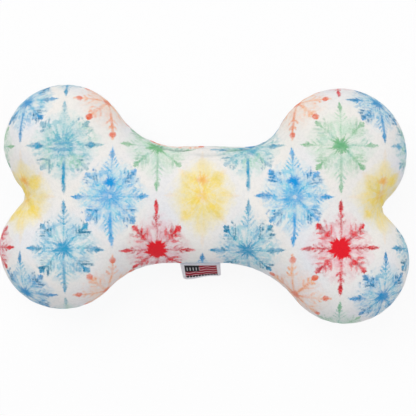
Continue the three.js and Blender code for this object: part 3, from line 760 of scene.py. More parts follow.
    def fabric(self, parts, side, inset):
        """One panel's rows from the seam to the core, with the swelling, the groove and gathers of
        the seam, the long creases beside the shaft and the lumps of the stuffing."""
        s = self.sewing
        seam = self.seam_turn(self.points)
        turns = self.turns(seam, parts, side)
        grid = self.rows(turns, 0)
        flat = self.flat_places(grid[..., :2], turns, side)
        run = running_length(grid)
        grid = grid + self.swollen(parts, side)
        outward = self.outward(grid, side)
        relief, crease = self.relief(grid, run, side)
        grid = grid + outward * (relief - inset)[..., None]
        pull = s.groove_depth * np.exp(-run / s.groove_reach)
        grid[..., :2] += self.gentle_inward()[:, None] * pull[..., None]
        grid[..., 2] += side * self.seam_opening()[:, None] * np.exp(-run / s.groove_reach)
        floor = -self.offset[2] + max(inset, 0)
        lift = grid[..., 2] - floor
        grid[..., 2] = floor + (lift + np.sqrt(lift**2 + s.press**2)) / 2
        return grid, flat, crease

    def outward(self, grid, side):
        """The direction out of the surface: the product of its slopes along and across."""
        along = np.roll(grid, -1, 0) - np.roll(grid, 1, 0)
        across = np.gradient(grid, axis=1)
        out = np.cross(along, across) * side
        size_of = np.linalg.norm(out, axis=-1, keepdims=True)
        out = np.where(size_of > NO_AREA, out / np.maximum(size_of, NO_AREA), [0, 0, side])
        out[:, -1] = [0, 0, side]
        return out

    def relief(self, grid, run, side):
        """Height of gathers, pleats, creases and lumps over the smooth surface, and the share of painted
        shade at each spot along the seam, in the pleats and in the creases, from 0 to 1."""
        s = self.sewing
        notches = np.array([self.outline.left_notch, self.outline.right_notch])
        height = self.gathers(run, side, notches)
        # Painted shade along the seam, in the pleats and in the creases
        crease = self.seam_shade * np.exp(-run / s.seam_shadow)
        for notch in self.drawn_in(notches):
            pleat = self.pleats_round(notch, grid, side)
            height -= s.pleat_depth * pleat
            crease = np.maximum(crease, self.pleat_shade * pleat)
        for values in self.creases:
            trough = self.trough(run, side, *values)
            height -= s.crease_depth * trough
            crease = np.maximum(crease, trough)
        uneven = sum(part * ripples(grid, pitch, seed) for part, pitch, seed in self.lumps)
        height += s.lump_height * smooth(*self.lump_start, run) * uneven
        return height, crease

    def gathers(self, run, side, notches):
        """Waves along the seam, shifted and weighed by slower waves. They die away from the seam and
        towards the notches."""
        s = self.sewing
        ring = running_length(self.points)
        whole = ring[-1] + np.linalg.norm(self.points[0] - self.points[-1])
        phase = 2 * math.pi * ring / whole
        stray = sum(part * np.sin(waves * phase + shift * side) for part, waves, shift in self.gather_strays)
        mean, swing, waves, shift = self.gather_swell
        strength = mean + swing * np.sin(waves * phase + shift * side)
        wave = np.sin(round(whole / s.pucker_pitch) * phase + stray) * strength
        near = np.min(np.linalg.norm(self.points[:, None] - notches, axis=-1), axis=1)
        gather = s.pucker_height * (1 - np.exp(-near / self.gather_growth)) * wave
        return gather[:, None] * np.exp(-run / self.gather_fade) * smooth(0, self.gather_start, run)

    def pleats_round(self, notch, grid, side):
        """Pleats that spread from a notch: squared waves of the angle round it."""
        s = self.sewing
        away = (grid[..., :2] - notch) * [-np.sign(notch[0]), 1]
        angle = np.arctan2(away[..., 1], away[..., 0])
        spread = np.sqrt((away**2).sum(-1) + grid[..., 2] ** 2)
        stray = self.pleat_stray * np.sin(2 * angle + side)
        pleat = (0.5 + 0.5 * np.cos(s.pleats * angle + stray)) ** 2
        fading = np.exp(-spread / s.pleat_reach) * smooth(*self.pleat_start, spread)
        return pleat * (fading * smooth(*self.pleat_ends, np.abs(angle)))

    def trough(self, run, side, centre, half_length, start, sag, depth, spread):
        """A crease beside the upper seam: a bell-shaped trough along a sagging line."""
        x, y = self.points.T
        part = (x * side - centre) / half_length
        line = start + sag * (1 - part**2)
        strength = depth * smooth(*self.crease_ends, np.abs(part)) * (y > 0)
        return strength[:, None] * np.exp(-(((run - line[:, None]) / spread) ** 2))

    def allowance_ways(self):
        """The way that the allowance points, and the way up across it: inwards and level, or tilted
        down like the normal of the ellipse where the seam is raised."""
        turns = self.seam_turn(self.points)
        tilt = np.arctan(np.tan(turns) * self.roll / self.half_depth(self.points[:, 0]))
        level = self.gentle_inward()
        into = np.column_stack([level * np.cos(tilt)[:, None], -np.sin(tilt)])
        over = np.column_stack([level * np.sin(tilt)[:, None], np.cos(tilt)])
        return into, over

    def row_shares(self):
        """Shares of the way from the seam to the core: of the rows outside, closer together near the
        seam, and of the rows inside, every other one of these from beside the allowance's fold."""
        steps = self.shape.roll_steps
        fine = (np.arange(steps + 1) / steps) ** self.crowding
        return fine, fine[:steps // 8:-2][::-1]

    def gentle_inward(self):
        """The inward directions, averaged along the outline so that they turn slowly at a notch."""
        width = max(1, round(self.steps * self.turning_share))
        spread = np.arange(-3 * width, 3 * width + 1)
        weights = np.exp(-((spread / width) ** 2) / 2)
        mean = sum(w * np.roll(self.inward, step, 0) for w, step in zip(weights, spread))
        return mean / np.linalg.norm(mean, axis=1)[:, None]

    def seam_line(self):
        """The middle of the seam, drawn in by the groove."""
        first = np.array([0, 1 / self.shape.roll_steps])
        return (self.fabric(first, 1, 0)[0][:, 0] + self.fabric(first, -1, 0)[0][:, 0]) / 2

    def shell(self, side):
        """A panel's closed rings, their flat places and the painted shade of its seam and creases: the
        outside from the core to the seam, the allowance turned inwards, and the inside from the seam to the
        core."""
        s = self.sewing
        fine, coarse = self.row_shares()
        outer, outer_flat, outer_crease_shade = self.fabric(fine, side, 0)
        inner, inner_flat, _ = self.fabric(np.concatenate([[0], coarse]), side, s.fabric_thickness)
        edge = outer[:, 0]
        into, over = self.allowance_ways()
        tip, face = edge + into * s.seam_allowance, over * side * s.fabric_thickness
        flange = [tip, tip + face, edge + into * s.fabric_thickness * self.fold_share + face]
        beyond = outer_flat[:, 0] - self.gentle_inward() * s.seam_allowance
        rings = [*outer[:, ::-1].transpose(1, 0, 2), *flange, *inner[:, 1:].transpose(1, 0, 2)]
        flats = [*outer_flat[:, ::-1].transpose(1, 0, 2), beyond, beyond, beyond]
        flats += [*inner_flat[:, 1:].transpose(1, 0, 2)]
        rings, flats = np.stack(rings) + self.offset, np.stack(flats)
        # The painted shade of each ring's points: full on the allowance and the inside, and from the seam,
        # pleats and creases on the outside
        creases = np.ones(rings.shape[:2])
        creases[:len(fine)] = outer_crease_shade[:, ::-1].T
        way = 1 if side > 0 else -1
        return rings[::way], flats[::way], creases[::way]

    def lining(self, gap):
        """The closed rings of the space inside the cover, from the front's core to the back's: both
        panels' insides and the allowance with its threads, all moved inwards by a gap."""
        s = self.sewing
        shares = self.row_shares()[1]
        shares = np.concatenate([[0], shares[shares > self.ridge_share]])
        front, back = (self.fabric(shares, side, s.fabric_thickness + gap)[0][:, 1:] for side in (1, -1))
        seam, (into, over) = self.seam_line(), self.allowance_ways()
        root, tip = s.fabric_thickness * self.fold_share + gap, s.seam_allowance + gap
        thread_top = (s.thread_lift_share + s.thread_dip_share + 1) * s.thread_radius
        level = over * (self.seam_opening() + s.fabric_thickness + thread_top + gap)[:, None]
        ridge = [seam + into * root + level, seam + into * tip + level]
        ridge += [seam + into * tip - level, seam + into * root - level]
        rings = [*front[:, ::-1].transpose(1, 0, 2), *ridge, *back.transpose(1, 0, 2)]
        return np.stack(rings) + self.offset


def catmull(places, length, wraps):
    """The matrix that turns values at whole places into values between them, by Catmull and Rom's
    cubic: each row holds the four weights of a place's neighbours."""
    base = np.floor(places).astype(int)
    t = places - base
    weights = np.stack([
        (-t + 2 * t**2 - t**3) / 2, (2 - 5 * t**2 + 3 * t**3) / 2,
        (t + 4 * t**2 - 3 * t**3) / 2, (-t**2 + t**3) / 2,
    ], 1)
    matrix = np.zeros((len(places), length))
    for step in range(4):
        index = base + step - 1
        index = index % length if wraps else np.clip(index, 0, length - 1)
        np.add.at(matrix, (np.arange(len(places)), index), weights[:, step])
    return matrix


# Meshes


def read_points(mesh, kind):
    """The places or normals of a mesh's points, a row each."""
    values = np.zeros(len(mesh.vertices) * 3)
    mesh.vertices.foreach_get(kind, values)
    return values.reshape(-1, 3)


def make_object(name, points, faces, material=None, flat=None, crease=None, map_name="flat_fabric"):
    """An object of quads with smooth shading, and a UV map of flat places and a number for the
    painted shade of seams and creases, where they are given."""
    mesh = bpy.data.meshes.new(name)
    mesh.from_pydata(points.tolist(), [], faces.tolist())
    mesh.shade_smooth()
    if flat is not None:
        corners = np.zeros(len(mesh.loops), int)
        mesh.loops.foreach_get("vertex_index", corners)
        layer = mesh.uv_layers.new(name=map_name)
        layer.data.foreach_set("uv", flat[corners].astype(np.float32).ravel())
    if crease is not None:
        # The share of painted shade at each point, which the plush material reads
        depth = mesh.attributes.new("crease", "FLOAT", "POINT")
        depth.data.foreach_set("value", crease.astype(np.float32))
    if material:
        mesh.materials.append(material)
    piece = bpy.data.objects.new(name, mesh)
    bpy.context.scene.collection.objects.link(piece)
    return piece


def ring_places(ring_count, columns, folded):
    """The index of each ring's points, and the length of each ring. Folded means that the first and
    last rings are lines, walked there and back."""
    index = np.arange(columns)
    lengths = np.full(ring_count, columns)
    places = np.tile(index, (ring_count, 1))
    if folded:
        lengths[[0, -1]] = columns // 2 + 1
        places[[0, -1]] = np.minimum(index, columns - index)
    starts = np.cumsum(lengths) - lengths
    return places + starts[:, None], lengths


def grid_object(name, rings, folded=False, material=None, flat=None, crease=None):
    """A surface of rings of points, each joined to the next by quads."""
    places, lengths = ring_places(*rings.shape[:2], folded)
    after = np.roll(places, -1, 1)
    faces = np.stack([places[:-1], places[1:], after[1:], after[:-1]], -1).reshape(-1, 4)

    def kept(values):
        """Each ring's own points, without those that a folded ring walks twice."""
        if values is None:
            return None
        return np.concatenate([ring[:length] for ring, length in zip(values, lengths)])

    return make_object(name, kept(rings), faces, material, kept(flat), kept(crease))


def lathe(name, profile, sides, centre, material):
    """A closed profile of radius and height carried round an upright axis."""
    angle = 2 * math.pi * np.arange(sides) / sides
    around = np.stack([np.cos(angle), np.sin(angle)], -1)
    rings = np.concatenate([profile, profile[:1]])
    plan = rings[:, None, :1] * around + np.array(centre)
    height = np.broadcast_to(rings[:, None, 1:], (*plan.shape[:2], 1))
    piece = grid_object(name, np.concatenate([plan, height], -1)[::-1], material=material)
    face_outwards(piece, merge=True)
    return piece


def face_outwards(piece, merge=False):
    """Turns a mesh's faces outwards, after its points that lie together are merged where asked."""
    body = bmesh.new()
    body.from_mesh(piece.data)
    if merge:
        bmesh.ops.remove_doubles(body, verts=body.verts, dist=HAIR)
    bmesh.ops.recalc_face_normals(body, faces=body.faces)
    body.to_mesh(piece.data)
    body.free()


def tube(name, route, radius, sides, material):
    """A round section carried along a route: at each point the section stands square to the way,
    on axes made from the way and the upright."""
    way = np.gradient(route, axis=0)
    way /= np.linalg.norm(way, axis=1)[:, None]
    across = np.cross(way, [0, 0, 1])
    across /= np.linalg.norm(across, axis=1)[:, None]
    up = np.cross(across, way)
    angle = 2 * math.pi * np.arange(sides)[:, None] / sides
    rings = route[:, None] + radius * (across[:, None] * np.cos(angle) + up[:, None] * np.sin(angle))
    first, last = (np.repeat(rings[end].mean(0)[None, None], sides, 1) for end in (0, -1))
    piece = grid_object(name, np.concatenate([first, rings, last]), material=material)
    face_outwards(piece, merge=True)
    return piece


# Materials


class Number:
    """A number that a material works out at each spot. Arithmetic on it adds Math nodes."""

    def __init__(self, recipe, socket):
        self.recipe, self.socket = recipe, socket

    def __add__(self, other):
        return self.recipe.math("ADD", self, other)

    def __sub__(self, other):
        return self.recipe.math("SUBTRACT", self, other)

    def __rsub__(self, other):
        return self.recipe.math("SUBTRACT", other, self)

    def __mul__(self, other):
        return self.recipe.math("MULTIPLY", self, other)

    def __truediv__(self, other):
        return self.recipe.math("DIVIDE", self, other)

    def __abs__(self):
        return self.recipe.math("ABSOLUTE", self)

    __radd__ = __add__
    __rmul__ = __mul__


class Recipe:
    """A node tree, written as sums."""

    def __init__(self, tree):
        self.tree = tree

    def node(self, kind, **settings):
        node = self.tree.nodes.new(kind)
        for key, value in settings.items():
            setattr(node, key, value)
        node.location = (-180 * (len(self.tree.nodes) % 30), -200 * (len(self.tree.nodes) // 30))
        return node

    def put(self, socket, value):
        """Links a number or socket to a socket, or writes a plain value or a colour of three on it."""
        if isinstance(value, Number):
            value = value.socket
        if isinstance(value, bpy.types.NodeSocket):
            self.tree.links.new(value, socket)
        else:
            socket.default_value = (*value, 1) if socket.type == "RGBA" else value

    def math(self, operation, *values):
        node = self.node("ShaderNodeMath", operation=operation)
        for socket, value in zip(node.inputs, values):
            self.put(socket, value)
        return Number(self, node.outputs[0])

    def least(self, *values):
        return self.math("MINIMUM", *values)

    def most(self, first, *others):
        for other in others:
            first = self.math("MAXIMUM", first, other)
        return first

    def step(self, low, high, value):
        """0 up to low, 1 from high, and smooth between. High may be below low, which turns it."""
        node = self.node("ShaderNodeMapRange", interpolation_type="SMOOTHSTEP")
        for name, given in (("Value", value), ("From Min", low), ("From Max", high)):
            self.put(node.inputs[name], given)
        return Number(self, node.outputs["Result"])

    def distance(self, x, y):
        return self.math("SQRT", x * x + y * y)

    def between(self, rise, fall, value):
        """1 from where a rise ends to where a fall starts, and smooth along both."""
        return self.step(*rise, value) * self.step(*fall, value)

    def apart(self, vector):
        node = self.node("ShaderNodeSeparateXYZ")
        self.put(node.inputs[0], vector)
        return [Number(self, output) for output in node.outputs]

    def together(self, x, y, z=0.0):
        node = self.node("ShaderNodeCombineXYZ")
        for socket, value in zip(node.inputs, (x, y, z)):
            self.put(socket, value)
        return node.outputs[0]

    def noise(self, vector, pitch, detail=2.0, colored=False):
        """Cloudy noise whose patches are about one pitch across."""
        node = self.node("ShaderNodeTexNoise")
        self.put(node.inputs["Vector"], vector)
        node.inputs["Scale"].default_value = 1 / pitch
        node.inputs["Detail"].default_value = detail
        return node.outputs["Color"] if colored else Number(self, node.outputs[0])

    def mix(self, part, first, second, blend="MIX"):
        """One colour turning into another as part goes from 0 to 1."""
        node = self.node("ShaderNodeMix", data_type="RGBA", blend_type=blend)
        self.put(node.inputs["Factor"], part)
        for socket, value in zip((node.inputs[6], node.inputs[7]), (first, second)):
            self.put(socket, value)
        return node.outputs[2]

    def choose(self, place, rows):
        """The row of up to four numbers at a place from 0 to 1, as a colour and a number."""
        node = self.node("ShaderNodeValToRGB")
        ramp = node.color_ramp
        ramp.interpolation = "CONSTANT"
        while len(ramp.elements) < len(rows):
            ramp.elements.new(1)
        for index, (element, row) in enumerate(zip(ramp.elements, rows)):
            element.position = index / len(rows)
            element.color = (*row, 1, 1, 1)[:4]
        self.put(node.inputs[0], place)
        return node.outputs["Color"], Number(self, node.outputs["Alpha"])

    def object_place(self):
        return self.node("ShaderNodeTexCoord").outputs["Object"]

    def attribute(self, name):
        return Number(self, self.node("ShaderNodeAttribute", attribute_name=name).outputs["Fac"])

    def map_place(self, name):
        return self.node("ShaderNodeUVMap", uv_map=name).outputs[0]

    def white_when_seen(self, lit, white, glow, output):
        """Mixes a white shader over a lit one by the share glow where the camera sees it, also in a
        reflection or through something."""
        path = self.node("ShaderNodeLightPath").outputs
        rays = [Number(self, path[f"Is {kind} Ray"]) for kind in ("Camera", "Glossy", "Transmission")]
        blend = self.node("ShaderNodeMixShader")
        values = (self.most(*rays) * glow, lit.outputs[0], white.outputs[0])
        for socket, value in zip(blend.inputs, values):
            self.put(socket, value)
        self.put(self.tree.nodes[output].inputs[0], blend.outputs[0])


class Surface(Recipe):
    """The recipe of a material's colour, shine and fine relief."""

    def __init__(self, name, roughness, **inputs):
        self.material = bpy.data.materials.new(name)
        self.material.use_nodes = True
        super().__init__(self.material.node_tree)
        self.shader = self.tree.nodes["Principled BSDF"]
        self.shader.inputs["Roughness"].default_value = roughness
        for key, value in inputs.items():
            self.shader.inputs[key.replace("_", " ")].default_value = value

    def paint(self, colored):
        self.put(self.shader.inputs["Base Color"], colored)

    def bump(self, height, distance):
        node = self.node("ShaderNodeBump")
        node.inputs["Distance"].default_value = distance
        self.put(node.inputs["Height"], height)
        self.put(self.shader.inputs["Normal"], node.outputs[0])


def plush(name, look, shift_x, shift_y):
    """Short pile printed with flakes, by the flat fabric's own map."""
    r = Surface(name, 0.92, Sheen_Weight=0.1, Sheen_Roughness=0.45)
    place = r.object_place()
    patches = r.step(0.35, 0.7, r.noise(place, 34 * MM))
    ground = r.mix(patches, look.ground_color, look.shade_color)
    printed = FlakePrint(r, look, shift_x, shift_y).painted(ground)
    pile = r.noise(place, look.pile_size, 2)
    tufts = r.noise(place, look.pile_size * 3.2, 1)
    shade = r.step(0.25, 0.6, pile) * 0.5 + r.step(0.3, 0.6, tufts) * 0.5
    printed = r.mix(shade * -0.2 + 0.2, printed, (0.55, 0.57, 0.6), "MULTIPLY")
    # Painted shade: the crease attribute darkens the seam, the pleats and the creases towards a dark
    # blue-green
    r.paint(r.mix(r.attribute("crease") * 0.65, printed, (0.18, 0.28, 0.31), "MULTIPLY"))
    r.bump(pile * 0.7 + tufts * 0.6, look.pile_height)
    return r.material


class FlakePrint:
    """Eight kinds of painted flake in diamond cells. In a flake, the angle is folded onto the nearest
    of eight arms, which gives a place along the arm and one beside it, and the arm's spine, barbs,
    tip and leaf are bands and lozenges of those two."""

    # What makes the lines stray: the noise's pitch and detail, and how many wanders it moves them
    strays = ((6 * MM, 2, 1.5), (0.75 * MM, 1, 1.6))
    # The diamond's border, where a flake's paint ends
    border = (1.0, 0.84)
    # Pitches of the noise behind the blots, specks, patches, clumps and second tint
    blot_pitch = 6 * MM
    speck_pitch = MM
    patch_pitch = 3.6 * MM
    clump_pitch = 2.8 * MM
    tint_pitch = 15 * MM
    # Added to a distance that something is divided by
    not_zero = MM / 10
    # Noise drawn out along rays: how fine it is round their middle, and its length along them
    ray_pitch = (4.5, 14 * MM)
    dash_pitch = (7, 3.2 * MM)
    spark_pitch = (2.5, 9 * MM)
    # Distances from a flake's middle at which paint is gone and full
    wash_fade = (25 * MM, 8 * MM)
    wash_stray = 9 * MM
    dab_fade = (24 * MM, 12 * MM)
    gap_fade = (22 * MM, 12 * MM)
    gap_start = (2 * MM, 6 * MM)
    stroke_fade = (20 * MM, 7 * MM)
    bare_fade = (1.6 * MM, 0.7 * MM)
    # Distances from an arm's middle line, or from its tip for the dot, at which paint is gone and full
    hook_fade = (6 * MM, 4.5 * MM)
    stem_fade = (1.3 * MM, 0.5 * MM)
    dot_fade = (2.4 * MM, 1.5 * MM)
    leaf_width = 5.2 * MM
    least_leaf = 0.2 * MM
    least_barb = 0.1 * MM
    # Nearly the cosine of half a right angle, at which the barbs leave the arm
    barb_slant = 0.7
    # Lozenges: the place along the arm, and half the length and half the width
    tip_inset = 4.2 * MM
    tip_size = (5.8 * MM, 1.9 * MM)
    plate_place = 15.5 * MM
    plate_size = (5 * MM, 2.8 * MM)
    bead_place = 15.2 * MM
    bead_gap = 3.2 * MM
    bead_size = (3 * MM, 2.9 * MM)
    # The same for the studs, from the root of their barb, with their distance from the middle line
    studs = (
        (8 * MM, 3.8 * MM, 1.7 * MM, 3.4 * MM),
        (12.4 * MM, 2.6 * MM, 1.5 * MM, 2.4 * MM),
    )
    # The small flower above the middle of some flakes
    flower_rise = 8.4 * MM
    flower_radius = 3.6 * MM

    def __init__(self, recipe, look, shift_x, shift_y):
        self.r, self.look = recipe, look
        self.flat = recipe.map_place("flat_fabric")
        self.find_flake(shift_x, shift_y)
        self.read_shares()
        self.find_arm()
        self.find_wear()

    def find_flake(self, shift_x, shift_y):
        """The place in a flake, the flake's kind and the clumps of its heart. A cell is where half
        the sum and half the difference of the column and row numbers round to whole numbers."""
        r, look = self.r, self.look
        across, down = r.apart(self.flat)[:2]
        x, y = across - (look.first_x + shift_x), (look.first_y + shift_y) - down
        for pitch, detail, wanders in self.strays:
            stray = r.apart(r.noise(self.flat, pitch, detail, colored=True))
            x = x + (stray[0] - 0.5) * (wanders * look.wander)
            y = y + (stray[1] - 0.5) * (wanders * look.wander)
        half_column, half_row = x / (2 * look.column_pitch), y / (2 * look.row_pitch)
        sum_cell = r.math("ROUND", half_column + half_row)
        difference_cell = r.math("ROUND", half_column - half_row)
        column, row = sum_cell + difference_cell, sum_cell - difference_cell
        self.x, self.y = x - column * look.column_pitch, row * look.row_pitch - y
        column_turn, row_turn = (value - r.math("FLOOR", value / 4) * 4 for value in (column, row))
        self.kind = (column_turn * 2 + r.math("FLOOR", row_turn / 2) + 0.5) / len(FLAKES)
        cloud = r.noise(r.together(across * 0.7, down * 1.5), self.clump_pitch, 2)
        self.clumps = r.step(0.42, 0.56, cloud)

    def read_shares(self):
        """The kind's share for each part of the flake, looked up four at a time."""
        names = list(SHARES)
        self.of = SimpleNamespace()
        for start in range(0, len(names), 4):
            group = names[start:start + 4]
            colored, last = self.r.choose(self.kind, list(zip(*(SHARES[name] for name in group))))
            for name, number in zip(group, (*self.r.apart(colored), last)):
                setattr(self.of, name, number)

    def colors(self, part):
        """The kind's colour for a part."""
        rows = [getattr(self.look, f"{flake}_{part}") for flake in FLAKES]
        return self.r.choose(self.kind, rows)[0]

    def find_arm(self):
        """The nearest arm, the place along it and beside it, its length and the width of its lines,
        and the distance to its nearest barb."""
        r, look = self.r, self.look
        self.radius = r.distance(self.x, self.y)
        angle = r.math("ARCTAN2", self.y, self.x)
        self.arm_number = r.math("ROUND", angle * (4 / math.pi))
        fold = angle - self.arm_number * (math.pi / 4)
        self.along = self.radius * r.math("COSINE", fold)
        self.beside = abs(self.radius * r.math("SINE", fold))
        number = abs(self.arm_number)
        self.slanting = number - r.math("FLOOR", number / 2) * 2
        self.upright = r.math("COMPARE", number, 2, 0.5)
        reach = self.slanting * (look.slant_arm - look.level_arm)
        reach = reach + self.upright * (look.upright_arm - look.level_arm)
        self.reach = reach + look.level_arm
        self.way = self.along / self.reach
        self.base = self.along - self.beside
        self.root = self.base / self.reach
        self.line = look.line_width * self.of.thickness * (self.slanting * 0.4 + 1.0)
        pitch = self.of.barb_pitch * look.barb_pitch
        from_barb = abs(self.base / pitch - r.math("ROUND", self.base / pitch))
        self.from_barb = from_barb * pitch * self.barb_slant

    def find_wear(self):
        """Where paint is missing or thin: the cell's border, blots, specks, patches, rays and dashes."""
        r, x, y = self.r, self.x, self.y
        self.inside = r.step(*self.border, abs(x) / self.look.column_pitch + abs(y) / self.look.row_pitch)
        self.blot = r.step(0.34, 0.64, r.noise(self.flat, self.blot_pitch, 3))
        self.thin = self.blot * 0.4 + 0.6
        self.speck = r.step(0.36, 0.6, r.noise(self.flat, self.speck_pitch, 2))
        self.patches = r.step(0.46, 0.58, r.noise(self.flat, self.patch_pitch, 1))
        safe = self.radius + self.not_zero
        self.ray = self.rays(x, y, safe, self.radius, *self.ray_pitch)
        self.dash = self.rays(x, y, safe, self.radius, *self.dash_pitch)
        self.beam = r.step(0.38, 0.64, self.ray)

    def rays(self, x, y, distance, depth, turns, length, detail=1):
        """Noise of the direction from a middle and of a depth, so that it is drawn out along rays."""
        r = self.r
        return r.noise(r.together(x / distance * turns, y / distance * turns, depth / length), 1, detail)

    def lozenge(self, along, beside, half_length, half_width, full=0.5):
        """1 in the middle of a lozenge and 0 outside it, by how far it is along it and beside it."""
        return self.r.step(1.0, full, abs(along) / half_length + abs(beside) / half_width)

    def washed(self):
        """The pale watery disc under the flake."""
        r, of = self.r, self.of
        watery = r.step(0.1, 1.0, self.blot * 0.6 + self.beam * 0.25 + self.speck * 0.15)
        disc = r.step(*self.wash_fade, self.radius + (self.blot - 0.5) * self.wash_stray)
        return disc * of.wash * (watery * 0.75 + 0.25) * self.inside

    def leaves(self):
        """The broad soft leaf under each arm, as wide as a parabola of the way along it."""
        r, of = self.r, self.of
        way = self.way / of.leaf_reach
        width = (1 - (way - 0.4) * (way - 0.4) * 2.8) * of.leaf_width * self.leaf_width
        width = r.most(width, self.least_leaf)
        soaked = self.beam * 0.25 + self.blot * 0.3 + self.speck * 0.1 + 0.4
        leaf = r.step(width, width * 0.2, self.beside) * r.step(1.05, 0.7, way) * of.leaf * soaked
        return leaf * (of.cross + self.slanting * (1 - of.cross))

    def strokes(self):
        """Brush strokes out of the middle."""
        strokes = self.beam * self.r.step(*self.stroke_fade, self.radius)
        return strokes * self.of.stroke * (self.speck * 0.4 + 0.3) * self.of.streak

    def dabs(self):
        """Short dashes round the middle."""
        r = self.r
        dabs = r.step(0.5, 0.6, self.dash) * (self.blot * 0.6 + 0.4)
        return dabs * r.step(*self.dab_fade, self.radius) * self.inside * self.of.dab * 0.85

    def gaps(self):
        """Dashes that show the plush through the paint."""
        gaps = self.r.step(0.46, 0.38, self.dash)
        return gaps * self.r.between(self.gap_fade, self.gap_start, self.radius) * self.of.gap * 0.38

    def arms(self):
        """Each arm's spine, and the barbs that leave it at half a right angle."""
        r, of, line = self.r, self.of, self.line
        spine = r.step(line * 0.95, line * 0.1, self.beside) * r.step(1.0, 0.95, self.way)
        span = r.most(of.barb_length * self.look.barb_length * (0.98 - self.root), self.least_barb)
        barbs = r.step(line * 0.85, line * 0.1, self.from_barb) * r.step(span, span * 0.7, self.beside)
        barbs = barbs * r.between((0.3, 0.42), (0.96, 0.88), self.root) * self.thin
        worn = (self.blot * 0.5 + 0.55) * (self.speck * 0.5 + 0.5)
        return r.most(spine, barbs) * of.arm * worn

    def hooks(self):
        """Short dark barbs on the slanting arms."""
        r, line = self.r, self.line
        hooks = r.step(line * 0.75, line * 0.2, self.from_barb) * r.step(*self.hook_fade, self.beside)
        hooks = hooks * r.between((0.42, 0.5), (0.84, 0.76), self.root) * self.inside
        return hooks * self.slanting * self.of.hook * self.patches

    def tips(self):
        """A spear or a round dot near each arm's end."""
        r, of = self.r, self.of
        from_tip = self.along - self.reach + self.tip_inset
        spear = self.lozenge(from_tip, self.beside, *self.tip_size, full=0.6)
        dot = r.step(*self.dot_fade, r.distance(from_tip, self.beside))
        return (spear + (dot - spear) * of.round_tip) * of.tip

    def plates(self):
        """A lozenge on each level arm."""
        plates = self.lozenge(self.along - self.plate_place, self.beside, *self.plate_size) * self.of.plate
        return plates * (1 - self.slanting) * (1 - self.upright)

    def nodes(self):
        """Two beads on each slanting arm, and studs on its barbs."""
        from_bead = abs(self.along - self.bead_place) - self.bead_gap
        beads = self.lozenge(from_bead, self.beside, *self.bead_size)
        studs = self.r.most(*(
            self.lozenge(self.base - place, self.beside - side, *half_sizes)
            for place, side, *half_sizes in self.studs
        ))
        return self.r.most(beads, studs * 0.8) * self.slanting * self.of.node

    def hearts(self):
        """The ragged heart of the flake."""
        of = self.of
        rim = of.heart * self.look.heart_radius * (1 + of.ragged * (self.ray - 0.5) * 3)
        heart = self.r.step(rim, rim * (0.75 - of.soft * 0.6), self.radius)
        return heart * of.heart_strength * (1 - of.mottle * (1 - self.clumps))

    def flowers(self):
        """The small flower above the middle."""
        r, of = self.r, self.of
        above = self.y - self.flower_rise
        distance = r.distance(self.x, above) + self.not_zero
        spark = self.rays(self.x, above, distance, distance, *self.spark_pitch, detail=2)
        rim = (spark * 3.4 - 0.5) * self.flower_radius
        return r.step(rim, rim * (0.7 - of.soft * 0.6), distance) * of.flower

    def stem(self):
        """The thin line down the lower arm."""
        r = self.r
        lower = r.math("COMPARE", self.arm_number, -2, 0.5) * self.of.lower_arm
        stem = lower * r.step(*self.stem_fade, self.beside)
        return stem * r.between((0.2, 0.4), (1.0, 0.9), self.way) * self.thin

    def painted(self, ground):
        """The ground under the wash, the arms, the gaps in them, the heart with the marks, the ink
        on the darkest marks and the bare spot in the middle."""
        r, of = self.r, self.of
        paint_now = r.mix(self.washed(), ground, self.colors("wash"))
        drawn = r.most(self.leaves(), self.strokes(), self.dabs(), self.arms())
        tint = r.step(0.46, 0.6, r.noise(self.flat, self.tint_pitch, 1))
        arms_paint = r.mix(tint, self.colors("arms"), self.colors("tint"))
        paint_now = r.mix(r.least(drawn, 1.0), paint_now, arms_paint)
        paint_now = r.mix(self.gaps(), paint_now, ground)
        tips, plates, hooks = self.tips(), self.plates(), self.hooks()
        marks = r.most(tips, plates, self.nodes(), hooks)
        marks = marks * self.thin * (self.speck * 0.25 + 0.75)
        hearts = r.most(self.hearts(), self.flowers(), self.stem(), marks)
        paint_now = r.mix(r.least(hearts, 1.0), paint_now, self.colors("heart"))
        inked = r.most(r.most(tips, plates) * (self.patches * 0.6), hooks)
        inked = r.least(inked * of.ink * (self.speck * 0.4 + 0.6), 1.0)
        paint_now = r.mix(inked, paint_now, self.look.ink_color, "MULTIPLY")
        return r.mix(r.least(r.step(*self.bare_fade, self.radius) * of.bare_spot, 1.0), paint_now, ground)


def twisted(paint_of, pitch):
    """Sewing thread: two plies that wind round each other, as stripes on a slanting wave, with painted
    shade in the grooves between them.
    """
    r = Surface("sewing_thread", 0.6, Sheen_Weight=0.2)
    x, y, z = r.apart(r.object_place())
    ply = abs(r.math("SINE", (x + y * 0.9 + z * 1.3) * (2 * math.pi / pitch)))
    # Painted shade: the colour is darker where the bump is lowest, in the grooves between the plies
    r.paint(r.mix(ply * 0.35, paint_of, (0.55, 0.54, 0.52)))
    r.bump(ply * -1 + 1, 0.1 * MM)
    return r.material


